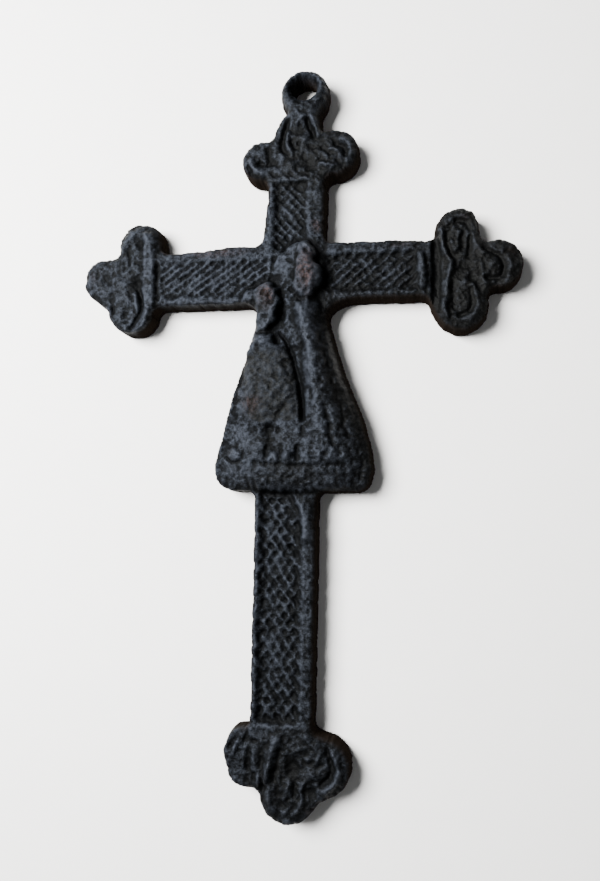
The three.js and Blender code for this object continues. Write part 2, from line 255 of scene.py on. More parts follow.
@dataclass
class Relief:
    """The height map of the upper side, in mm from the crossing of the limbs."""

    pitch: float = 0.142
    left: float = -28.6
    right: float = 28.3
    low: float = -65.7
    high: float = 27.5
    x: np.ndarray = field(init=False)
    y: np.ndarray = field(init=False)
    z: np.ndarray = field(init=False)
    rust: np.ndarray = field(init=False)
    dust: np.ndarray = field(init=False)
    # Where shade is painted into the colour, over the parts that get less light.
    soot: np.ndarray = field(init=False)

    def __post_init__(self) -> None:
        """Lay out the empty grid."""
        xs = np.arange(self.left, self.right, self.pitch)
        ys = np.arange(self.low, self.high, self.pitch)
        self.x, self.y = np.meshgrid(xs, ys)
        self.z = np.zeros_like(self.x)
        self.rust = np.zeros_like(self.x)
        self.dust = np.zeros_like(self.x)
        self.soot = np.zeros_like(self.x)

    def blur(self, values: np.ndarray, size: float) -> np.ndarray:
        """Blur a layer over a size in mm."""
        return blurred(values, size / self.pitch)

    def window(self, left: float, right: float, low: float, high: float) -> Spot:
        """Give the part of the grid that covers a rectangle.

        Args:
            left: Its lowest x.
            right: Its highest x.
            low: Its lowest y.
            high: Its highest y.

        Returns:
            The rows and columns it covers.
        """
        columns = [int(np.clip((v - self.left) / self.pitch, 0, self.x.shape[1])) for v in (left, right)]
        rows = [int(np.clip((v - self.low) / self.pitch, 0, self.x.shape[0])) for v in (low, high)]
        return slice(rows[0], rows[1] + 1), slice(columns[0], columns[1] + 1)

    def around(self, x: float, y: float, reach: float) -> Spot:
        """Give the part of the grid that covers a square around a place."""
        return self.window(x - reach, x + reach, y - reach, y + reach)

    def noise(self, size: float, seed: int) -> np.ndarray:
        """Make smooth lumps of about one size, -1 to 1.

        Args:
            size: The lumps' size in mm.
            seed: Which pattern of lumps.

        Returns:
            The lumps over the whole grid.
        """
        rng = np.random.default_rng(seed)
        u = (self.x - self.left) / size
        v = (self.y - self.low) / size
        knots = rng.uniform(-1, 1, (int(v.max()) + 3, int(u.max()) + 3))
        i, j = v.astype(int), u.astype(int)
        s, t = smooth_step(0, 1, v - i), smooth_step(0, 1, u - j)
        below = knots[i, j] * (1 - t) + knots[i, j + 1] * t
        above = knots[i + 1, j] * (1 - t) + knots[i + 1, j + 1] * t
        return below * (1 - s) + above * s

    def lumps(self, *rows: Lumps, spot: Spot = (slice(None), slice(None))) -> np.ndarray:
        """Add up lumps of several sizes.

        Args:
            *rows: The height, the size and the seed of each pattern of lumps.
            spot: The part of the grid to give.

        Returns:
            The sum over that part.
        """
        return sum(height * self.noise(size, seed)[spot] for height, size, seed in rows)


@dataclass(frozen=True)
class Stroke:
    """A ridge, or with a negative rise a groove, drawn through points."""

    points: Points
    width: float
    rise: float
    section: Section = Section.BELL

    def press(self, relief: Relief, strength: float = 1.0) -> None:
        """Add the stroke to the relief.

        Args:
            relief: The height map to change.
            strength: How much of its rise shows.
        """
        curve = smooth_curve(self.points)
        margin = STROKE_REACH * self.width
        low, high = curve.min(0) - margin, curve.max(0) + margin
        spot = relief.window(low[0], high[0], low[1], high[1])
        nearest = curve_distance(curve, relief.x[spot], relief.y[spot])
        relief.z[spot] += strength * self.rise * self.section.weight(nearest / (self.width / 2))


@dataclass(frozen=True)
class Mound:
    """An oval boss, or with a negative rise a hollow."""

    x: float
    y: float
    half_x: float
    half_y: float
    rise: float
    turn: float = 0.0
    section: Section = Section.BELL

    def weight(self, relief: Relief, spot: Spot) -> np.ndarray:
        """Give the oval's height share over a window of the relief.

        Args:
            relief: The height map.
            spot: The rows and columns to weigh.

        Returns:
            The share at each point.
        """
        dx, dy = relief.x[spot] - self.x, relief.y[spot] - self.y
        c, s = math.cos(math.radians(self.turn)), math.sin(math.radians(self.turn))
        ratio = np.hypot((c * dx + s * dy) / self.half_x, (c * dy - s * dx) / self.half_y)
        return self.section.weight(ratio)

    def press(self, relief: Relief, strength: float = 1.0, layer: np.ndarray | None = None) -> None:
        """Add the oval to the relief, or to one of its other layers.

        Args:
            relief: The height map to change.
            strength: How much of its rise shows.
            layer: The layer to change in place of the height.
        """
        spot = relief.around(self.x, self.y, MOUND_REACH * max(self.half_x, self.half_y))
        target = relief.z if layer is None else layer
        target[spot] += strength * self.rise * self.weight(relief, spot)


@dataclass(frozen=True)
class Mass:
    """A raised mass with a rounded rim, inside a closed outline."""

    outline: Points
    low: float
    top: float
    rim: float
    rise_across: float = 0.0
    margin: float = 0.6

    def depth(self, relief: Relief, spot: Spot) -> np.ndarray:
        """Measure how deep inside the outline each point lies.

        Args:
            relief: The height map.
            spot: The rows and columns to measure.

        Returns:
            The depth in mm, below 0 outside.
        """
        curve = smooth_curve(self.outline + self.outline[:1])
        x, y = relief.x[spot], relief.y[spot]
        nearest = curve_distance(curve, x, y)
        return np.where(inside_loops(curve[:-1], curve[1:], x, y), nearest, -nearest)

    def window(self, relief: Relief) -> Spot:
        """Give the part of the relief that the mass covers.

        Args:
            relief: The height map.

        Returns:
            The rows and columns.
        """
        left, low = np.min(self.outline, 0) - self.margin
        right, high = np.max(self.outline, 0) + self.margin
        return relief.window(left, right, low, high)

    def build_up(self, relief: Relief, seed: int) -> None:
        """Raise the relief to the mass wherever it lies lower.

        Args:
            relief: The height map to change.
            seed: Which pattern of lumps roughens the mass.
        """
        spot = self.window(relief)
        depth = self.depth(relief, spot) + relief.lumps((0.2, 0.8, seed), (0.1, 0.45, seed + 3), spot=spot)
        share = np.sqrt(np.clip(1 - np.clip(1 - depth / self.rim, 0, 1) ** 2, 0, 1))
        middle = sum(x for x, _ in self.outline) / len(self.outline)
        lean = self.rise_across * (relief.x[spot] - middle)
        rough = relief.lumps((0.14, 0.8, seed + 1), (0.15, 0.42, seed + 2), spot=spot)
        rough = rough * smooth_step(0, 0.5 * self.rim, depth)
        height = self.low + (self.top - self.low + lean) * share + rough
        relief.z[spot] = np.where(depth > 0, np.maximum(relief.z[spot], height), relief.z[spot])

    def cut_down(self, relief: Relief) -> None:
        """Lower the relief to the mass's low height inside the outline.

        Args:
            relief: The height map to change.
        """
        spot = self.window(relief)
        share = smooth_step(0, self.rim, self.depth(relief, spot))
        plate = relief.z[spot]
        relief.z[spot] = plate * (1 - share) + np.minimum(plate, self.low) * share


@dataclass(frozen=True)
class Panel:
    """A sunken panel of crossing strands between two plain rails along one limb."""

    first: float
    last: float
    offset: float
    half_width: float
    upright: bool
    depth: float = 0.55
    slope: float = 0.62
    cell_long: float = 1.54
    cell_wide: float = 1.07
    phase_long: float = 0.05
    phase_wide: float = -0.19
    strand: float = 0.3
    under: float = 0.75
    end_slope: float = 0.45
    seed: int = 1

    def carve(self, relief: Relief, surface: float) -> None:
        """Sink the panel and lay its strands.

        Args:
            relief: The height map to change.
            surface: The height of the rails' tops.
        """
        reach = self.half_width + 1
        low, high = self.offset - reach, self.offset + reach
        if self.upright:
            spot = relief.window(low, high, self.first - 1, self.last + 1)
            run, across = relief.y[spot], relief.x[spot] - self.offset
        else:
            spot = relief.window(self.first - 1, self.last + 1, low, high)
            run, across = relief.x[spot], relief.y[spot] - self.offset
        wander = relief.lumps((0.1, 2.2, self.seed), spot=spot)
        sink = smooth_step(self.half_width, self.half_width - self.slope, np.abs(across) + wander)
        sink = sink * smooth_step(self.first, self.first + self.end_slope, run)
        sink = sink * smooth_step(self.last, self.last - self.end_slope, run)
        warp = relief.lumps((0.11, 1.3, self.seed + 1), spot=spot)
        u = (run + warp) / self.cell_long + self.phase_long
        v = (across + warp) / self.cell_wide + self.phase_wide
        rising = np.abs(np.mod(u - v, 1) - 0.5) * 2
        falling = np.abs(np.mod(u + v, 1) - 0.5) * 2
        if self.upright:
            rising, falling = falling, rising
        uneven = 1 + relief.lumps((0.35, 0.9, self.seed + 2), (0.25, 2.4, self.seed + 3), spot=spot)
        over = self.strand * uneven * smooth_step(0.1, 0.95, rising)
        under = self.under * self.strand * uneven * smooth_step(0.15, 0.95, falling)
        strands = np.maximum(over, under) + 0.2 * np.minimum(over, under)
        floor = surface - self.depth - 0.6 * self.strand
        relief.z[spot] = relief.z[spot] * (1 - sink) + (floor + strands) * sink


@dataclass(frozen=True)
class LobedEnd:
    """A trefoil end of a limb: its ribs, leaves and hollows."""

    name: str
    middle: Pair
    reach: float
    strokes: tuple[Stroke, ...]
    mounds: tuple[Mound, ...]
    seed: int
    wear: float
    fade: float = 1.5

    def press(self, relief: Relief) -> None:
        """Press the end's ornament into the relief.

        Args:
            relief: The height map to change.
        """
        for piece in self.strokes + self.mounds:
            piece.press(relief, self.wear)
        spot = relief.around(*self.middle, self.reach)
        lumps = relief.lumps((0.05, 0.9, self.seed), (0.04, 0.45, self.seed + 1), spot=spot)
        distance = np.hypot(relief.x[spot] - self.middle[0], relief.y[spot] - self.middle[1])
        relief.z[spot] += lumps * smooth_step(self.reach, self.reach - self.fade, distance)
        log.info("%s: %d strokes, %d mounds", self.name, len(self.strokes), len(self.mounds))


def left_end() -> LobedEnd:
    """Describe the left end.

    Returns:
        The end's ornament.
    """
    strokes = (
        Stroke(((-18.75, 5.6), (-18.6, 3.5), (-18.55, 0.5), (-18.5, -2.2), (-18.45, -3.6)), 1.5, 0.42,
               Section.FLAT),
        Stroke(((-18.5, -3.9), (-18.9, -5.0), (-19.5, -5.9), (-20.1, -6.5)), 0.7, 0.32),
        Stroke(((-21.9, 4.4), (-21.3, 5.8), (-20.2, 6.35), (-19.2, 6.0), (-18.6, 5.0)), 1.1, 0.3),
        Stroke(((-17.4, 2.1), (-17.4, -0.2), (-17.35, -2.4)), 0.6, -0.3),
        Stroke(((-20.0, -1.0), (-19.45, -2.2), (-19.3, -3.2), (-19.7, -4.2), (-20.3, -5.3), (-20.8, -5.9)),
               0.62, -0.6),
        Stroke(((-20.25, -1.6), (-20.05, -2.5), (-19.95, -3.4)), 0.55, 0.42),
        Stroke(((-20.55, -3.1), (-20.3, -3.9)), 0.3, -0.22),
        Stroke(((-23.5, -2.4), (-23.25, -3.1), (-23.2, -3.9)), 0.5, -0.4),
        Stroke(((-26.0, -1.6), (-25.1, -2.3), (-24.2, -2.9)), 0.45, -0.3),
        Stroke(((-26.6, 0.9), (-26.55, -0.2), (-26.1, -1.1)), 0.5, 0.16),
        Stroke(((-21.95, 2.5), (-21.9, 1.5)), 0.4, -0.28),
        Stroke(((-21.35, 3.8), (-21.25, 2.9), (-21.2, 2.2)), 0.4, -0.38),
        Stroke(((-20.5, 3.0), (-20.4, 2.2)), 0.36, -0.3),
        Stroke(((-19.9, 2.4), (-19.7, 1.6), (-19.9, 0.9)), 0.5, -0.22),
        Stroke(((-22.3, 3.7), (-22.2, 4.6)), 0.5, 0.2),
        Stroke(((-22.9, 0.6), (-22.2, -0.2), (-21.6, -1.2), (-21.2, -2.4)), 0.9, 0.2),
    )
    mounds = (
        Mound(-20.2, 0.0, 0.75, 0.95, -0.75, 15),
        Mound(-19.75, 4.85, 0.75, 0.5, -0.45, -25),
        Mound(-21.5, -4.15, 0.5, 0.62, -0.4, -15),
        Mound(-24.0, 0.6, 1.1, 0.85, -0.26, 20),
        Mound(-24.7, -1.0, 1.0, 0.75, 0.3, 10),
        Mound(-22.2, -1.2, 0.7, 0.5, 0.2),
        Mound(-22.3, -4.2, 0.6, 0.9, 0.2),
        Mound(-26.35, -0.75, 0.3, 0.4, -0.2),
        Mound(-25.2, 1.7, 0.8, 0.5, 0.15, 30),
        Mound(-20.7, 4.3, 0.5, 0.6, 0.16),
    )
    return LobedEnd("left end", (-21.7, 0.3), 7.6, strokes, mounds, 21, 0.85)


def right_end() -> LobedEnd:
    """Describe the right end.

    Returns:
        The end's ornament.
    """
    strokes = (
        Stroke(((15.35, 2.0), (15.5, 0.7), (15.65, -0.4), (15.65, -1.7)), 0.85, 0.5, Section.FLAT),
        Stroke(((17.15, 4.3), (17.2, 2.2), (17.25, 0.0), (17.2, -2.4), (17.2, -4.4)), 0.95, -0.6,
               Section.FLAT),
        Stroke(((17.75, 4.9), (17.75, 3.8), (17.95, 2.8), (18.4, 1.8), (18.9, 1.0), (18.8, 0.2),
                (18.55, -0.6), (18.4, -1.5), (18.4, -2.6), (18.2, -3.6), (18.15, -4.4), (18.4, -5.4)),
               0.72, 0.55),
        Stroke(((18.45, 4.5), (18.5, 3.4), (18.8, 2.4), (19.3, 1.6)), 0.55, -0.4),
        Stroke(((19.8, 4.6), (19.6, 3.7), (19.7, 2.9), (19.3, 2.3)), 0.42, 0.4),
        Stroke(((20.4, 4.6), (20.2, 3.4), (20.1, 2.5)), 0.5, -0.3),
        Stroke(((19.2, 5.6), (19.6, 6.0), (20.4, 5.8), (20.9, 5.0)), 0.5, -0.3),
        Stroke(((18.2, 5.7), (19.0, 6.4), (20.2, 6.7), (21.3, 6.2)), 0.55, 0.2),
        Stroke(((21.1, 4.0), (21.05, 2.7), (20.9, 1.6)), 0.5, -0.42),
        Stroke(((21.55, 4.1), (21.7, 3.2), (22.2, 2.5), (22.8, 2.0)), 0.5, 0.34),
        Stroke(((22.7, 2.5), (23.5, 2.15), (24.4, 1.5), (24.85, 0.6), (24.85, -0.2), (24.5, -0.85),
                (23.7, -1.05), (23.0, -1.0)), 0.52, -0.55),
        Stroke(((25.3, 1.7), (25.6, 0.9), (25.6, 0.0), (25.5, -0.8), (25.2, -1.5), (24.7, -2.0)), 0.75, 0.32),
        Stroke(((22.3, 0.9), (22.45, 0.0), (22.5, -0.8), (22.8, -1.7)), 0.5, 0.26),
        Stroke(((21.4, -1.9), (21.75, -3.0), (22.05, -4.0), (21.7, -5.0), (21.1, -5.8)), 0.7, 0.36),
        Stroke(((21.1, -2.2), (21.3, -3.5), (21.2, -4.5), (20.6, -5.1), (19.8, -5.4)), 0.55, -0.42),
        Stroke(((19.2, -1.6), (19.15, -3.0), (19.3, -4.6)), 0.5, -0.3),
        Stroke(((16.4, -3.3), (16.7, -4.2), (17.6, -5.5), (18.7, -6.3)), 0.5, 0.12),
    )
    mounds = (
        Mound(18.85, 0.4, 0.75, 0.85, 0.28),
        Mound(18.05, -4.2, 0.6, 0.75, 0.25),
        Mound(18.25, -0.55, 0.25, 0.4, -0.35),
        Mound(23.8, 0.55, 0.95, 0.95, 0.36),
        Mound(18.9, 3.3, 0.3, 0.45, 0.25),
        Mound(21.3, -0.9, 0.4, 0.6, -0.35),
        Mound(20.6, -1.4, 0.35, 0.4, 0.3),
        Mound(20.1, -3.1, 0.8, 1.2, 0.2),
        Mound(25.2, 2.0, 0.35, 0.35, -0.22),
        Mound(20.6, 0.7, 1.1, 1.0, -0.22),
        Mound(19.3, -6.2, 0.5, 0.3, -0.2),
    )
    return LobedEnd("right end", (21.6, 0.0), 7.8, strokes, mounds, 31, 0.92)


def top_end() -> LobedEnd:
    """Describe the upper end, below the eyelet.

    Returns:
        The end's ornament.
    """
    strokes = (
        Stroke(((-0.9, 19.6), (-1.4, 18.5), (-1.65, 17.4), (-1.75, 16.4), (-1.3, 15.7)), 0.7, -0.6),
        Stroke(((-0.9, 18.2), (-1.0, 17.2), (-0.85, 16.4), (-0.5, 15.8)), 0.55, 0.42),
        Stroke(((-0.45, 17.1), (-0.2, 16.4), (0.25, 16.15), (0.45, 16.9)), 0.48, -0.42),
        Stroke(((1.55, 19.6), (1.6, 18.9), (2.05, 18.3), (2.25, 17.5)), 0.6, -0.6),
        Stroke(((1.95, 19.8), (2.5, 19.1), (2.7, 18.3), (2.85, 17.5)), 0.85, 0.42),
        Stroke(((0.2, 19.2), (0.6, 19.65), (1.3, 19.95)), 0.5, 0.3),
        Stroke(((-3.4, 16.2), (-3.35, 15.4), (-3.1, 14.8)), 0.95, -0.5),
        Stroke(((-4.5, 14.5), (-3.6, 14.3), (-2.6, 14.4)), 0.85, -0.5),
        Stroke(((-5.6, 15.0), (-5.4, 14.2), (-4.9, 13.7), (-4.2, 13.2)), 0.75, 0.36),
        Stroke(((-6.0, 14.2), (-5.5, 13.2), (-4.6, 12.6), (-3.8, 12.5)), 0.55, -0.42),
        Stroke(((-6.3, 13.0), (-5.6, 12.4), (-4.6, 12.0)), 0.5, 0.2),
        Stroke(((3.1, 14.1), (3.9, 13.85), (4.8, 13.6)), 0.5, 0.48),
        Stroke(((5.1, 16.4), (5.8, 16.15), (6.25, 15.6), (6.2, 15.0)), 0.65, -0.52),
        Stroke(((5.7, 17.0), (6.4, 16.6), (6.85, 15.9), (7.0, 15.2)), 0.6, 0.36),
        Stroke(((4.4, 15.9), (5.1, 15.7), (5.5, 15.3)), 0.5, 0.34),
        Stroke(((5.2, 14.4), (5.6, 13.9), (6.2, 13.7)), 0.45, -0.3),
        Stroke(((6.2, 14.7), (6.5, 14.2), (6.4, 13.6)), 0.4, 0.22),
        Stroke(((-2.0, 13.9), (-1.2, 14.3), (-0.9, 15.0)), 0.35, -0.2),
        Stroke(((3.0, 16.4), (3.6, 15.9), (4.2, 15.1)), 0.35, -0.26),
    )
    mounds = (
        Mound(1.15, 17.2, 0.7, 0.9, 0.4, -20),
        Mound(-1.5, 15.25, 0.55, 0.35, 0.28, -20),
        Mound(-0.5, 14.2, 0.7, 0.55, 0.36),
        Mound(-1.1, 13.5, 0.35, 0.25, 0.25),
        Mound(2.6, 14.8, 0.26, 0.26, 0.35),
        Mound(3.6, 15.15, 0.3, 0.3, 0.3),
        Mound(4.05, 14.95, 0.28, 0.3, 0.3),
        Mound(1.6, 14.1, 1.3, 1.2, -0.34),
        Mound(6.0, 12.8, 0.45, 0.3, 0.3, -40),
        Mound(-4.9, 15.8, 0.6, 0.6, 0.15),
        Mound(4.3, 12.6, 0.3, 0.3, 0.22),
        Mound(0.4, 18.6, 0.5, 0.5, -0.16),
        Mound(3.7, 17.4, 0.8, 0.5, 0.16, -20),
    )
    return LobedEnd("upper end", (0.6, 15.4), 7.6, strokes, mounds, 41, 0.95)


def foot_end() -> LobedEnd:
    """Describe the foot.

    Returns:
        The end's ornament.
    """
    strokes = (
        Stroke(((-0.8, -55.0), (-1.3, -56.2), (-1.5, -57.2), (-1.7, -58.2), (-2.0, -59.3)), 1.25, 0.6),
        Stroke(((-0.3, -56.0), (-0.6, -57.4), (-0.9, -58.7), (-1.0, -59.6)), 0.5, -0.32),
        Stroke(((-2.6, -56.2), (-2.5, -57.6), (-2.4, -58.6)), 0.6, -0.2),
        Stroke(((-4.25, -53.9), (-4.4, -54.6), (-4.6, -55.2)), 0.45, -0.42),
        Stroke(((-4.9, -54.3), (-5.2, -55.1)), 0.32, -0.25),
        Stroke(((-5.5, -54.4), (-5.8, -55.1)), 0.32, -0.22),
        Stroke(((-6.1, -54.7), (-6.3, -55.2)), 0.3, -0.18),
        Stroke(((-5.4, -55.4), (-5.8, -56.2), (-5.95, -57.0)), 0.5, 0.3),
        Stroke(((-4.1, -56.6), (-4.15, -57.6), (-4.1, -58.4)), 0.6, -0.36),
        Stroke(((-3.5, -56.2), (-3.35, -57.6), (-3.3, -58.6)), 0.55, 0.2),
        Stroke(((-3.4, -58.8), (-3.45, -59.7)), 0.45, -0.3),
        Stroke(((-2.85, -58.9), (-2.8, -59.9)), 0.45, 0.22),
        Stroke(((-2.45, -59.3), (-2.35, -60.2), (-2.3, -61.0)), 0.5, -0.4),
        Stroke(((-1.55, -60.0), (-1.5, -61.2), (-1.4, -62.0)), 0.7, 0.2),
        Stroke(((-0.5, -59.9), (-0.5, -61.0), (-0.3, -62.0)), 0.4, -0.24),
        Stroke(((0.9, -59.5), (0.6, -60.4), (0.2, -61.3)), 0.45, 0.26),
        Stroke(((1.45, -59.5), (1.45, -60.3), (1.3, -61.2)), 0.45, -0.4),
        Stroke(((2.6, -59.3), (2.15, -60.3), (2.35, -61.4), (2.0, -62.3), (1.4, -63.0)), 0.5, 0.4),
        Stroke(((5.9, -56.0), (6.3, -56.9), (6.55, -57.8), (6.25, -58.8), (5.7, -59.6), (5.0, -60.15)),
               0.75, 0.46),
        Stroke(((5.1, -55.8), (5.5, -56.8), (5.7, -57.8), (5.3, -58.9), (4.6, -59.4)), 0.7, -0.46),
        Stroke(((4.35, -56.0), (4.1, -56.6), (3.95, -57.2)), 0.4, 0.3),
        Stroke(((1.3, -56.1), (1.9, -55.7), (2.5, -55.6)), 0.6, 0.28),
        Stroke(((2.6, -54.3), (3.2, -55.0), (3.9, -55.6)), 0.5, 0.2),
        Stroke(((3.6, -59.9), (3.7, -60.6)), 0.6, -0.25),
    )
    mounds = (
        Mound(1.1, -57.9, 0.95, 1.3, -0.62),
        Mound(-6.3, -56.0, 0.35, 0.4, -0.4),
        Mound(-3.55, -55.2, 0.4, 0.35, -0.35),
        Mound(-4.2, -54.1, 0.3, 0.4, 0.2),
        Mound(2.85, -56.8, 0.34, 0.34, 0.4),
        Mound(3.5, -58.4, 0.75, 0.65, 0.38),
        Mound(4.4, -58.0, 0.35, 0.35, 0.25),
        Mound(2.1, -57.5, 0.3, 0.3, 0.22),
        Mound(3.0, -60.6, 0.9, 0.8, -0.3),
        Mound(-5.0, -58.8, 0.6, 0.7, 0.16),
        Mound(0.5, -62.9, 0.6, 0.45, 0.2),
        Mound(-1.3, -62.4, 0.5, 0.35, 0.18),
        Mound(0.1, -62.2, 0.3, 0.35, -0.25),
    )
    return LobedEnd("foot", (0.2, -58.2), 8.4, strokes, mounds, 51, 0.95)


@dataclass(frozen=True)
class Face:
    """A calm, plain face in worn relief, drawn by shares of its own width and height."""

    x: float
    y: float
    width: float
    height: float
    tilt: float
    relief_share: float = 1.0

    def spot(self, across: float, up: float) -> Pair:
        """Give the place at shares of the face's width and height from its middle.

        Args:
            across: The share of the width.
            up: The share of the height.

        Returns:
            The place.
        """
        c, s = math.cos(math.radians(self.tilt)), math.sin(math.radians(self.tilt))
        dx, dy = across * self.width, up * self.height
        return self.x + c * dx - s * dy, self.y + s * dx + c * dy

    def stroke(self, shares: Points, width: float, rise: float) -> Stroke:
        """Make a stroke from shares of the face's size."""
        return Stroke(tuple(self.spot(*share) for share in shares), width * self.width, rise)

    def mound(self, across: float, up: float, half_x: float, half_y: float, rise: float) -> Mound:
        """Make a mound from shares of the face's size."""
        x, y = self.spot(across, up)
        return Mound(x, y, half_x * self.width, half_y * self.height, rise, self.tilt)

    def press(self, relief: Relief) -> None:
        """Press the features into the head's mound.

        Args:
            relief: The height map to change.
        """
        pieces = [
            self.stroke(((0, 0.1), (0, -0.06), (0, -0.17)), 0.17, 0.2),
            self.mound(0, -0.18, 0.11, 0.05, 0.14),
            self.mound(0, 0.3, 0.26, 0.12, 0.06),
            self.mound(0, -0.41, 0.14, 0.07, 0.13),
            self.stroke(((-0.15, -0.285), (0, -0.275), (0.15, -0.285)), 0.1, -0.07),
            self.stroke(((-0.1, -0.325), (0, -0.335), (0.1, -0.325)), 0.12, 0.09),
            self.stroke(((-0.12, -0.245), (0, -0.24), (0.12, -0.245)), 0.1, 0.07),
        ]
        for side in (-1, 1):
            pieces += [
                self.mound(side * 0.21, 0.03, 0.16, 0.075, -0.11),
                self.mound(side * 0.21, 0.015, 0.095, 0.038, 0.12),
                self.stroke(((side * 0.07, 0.11), (side * 0.21, 0.145), (side * 0.36, 0.09)), 0.12, 0.1),
                self.mound(side * 0.25, -0.14, 0.2, 0.15, 0.17),
            ]
        for piece in pieces:
            piece.press(relief, self.relief_share)


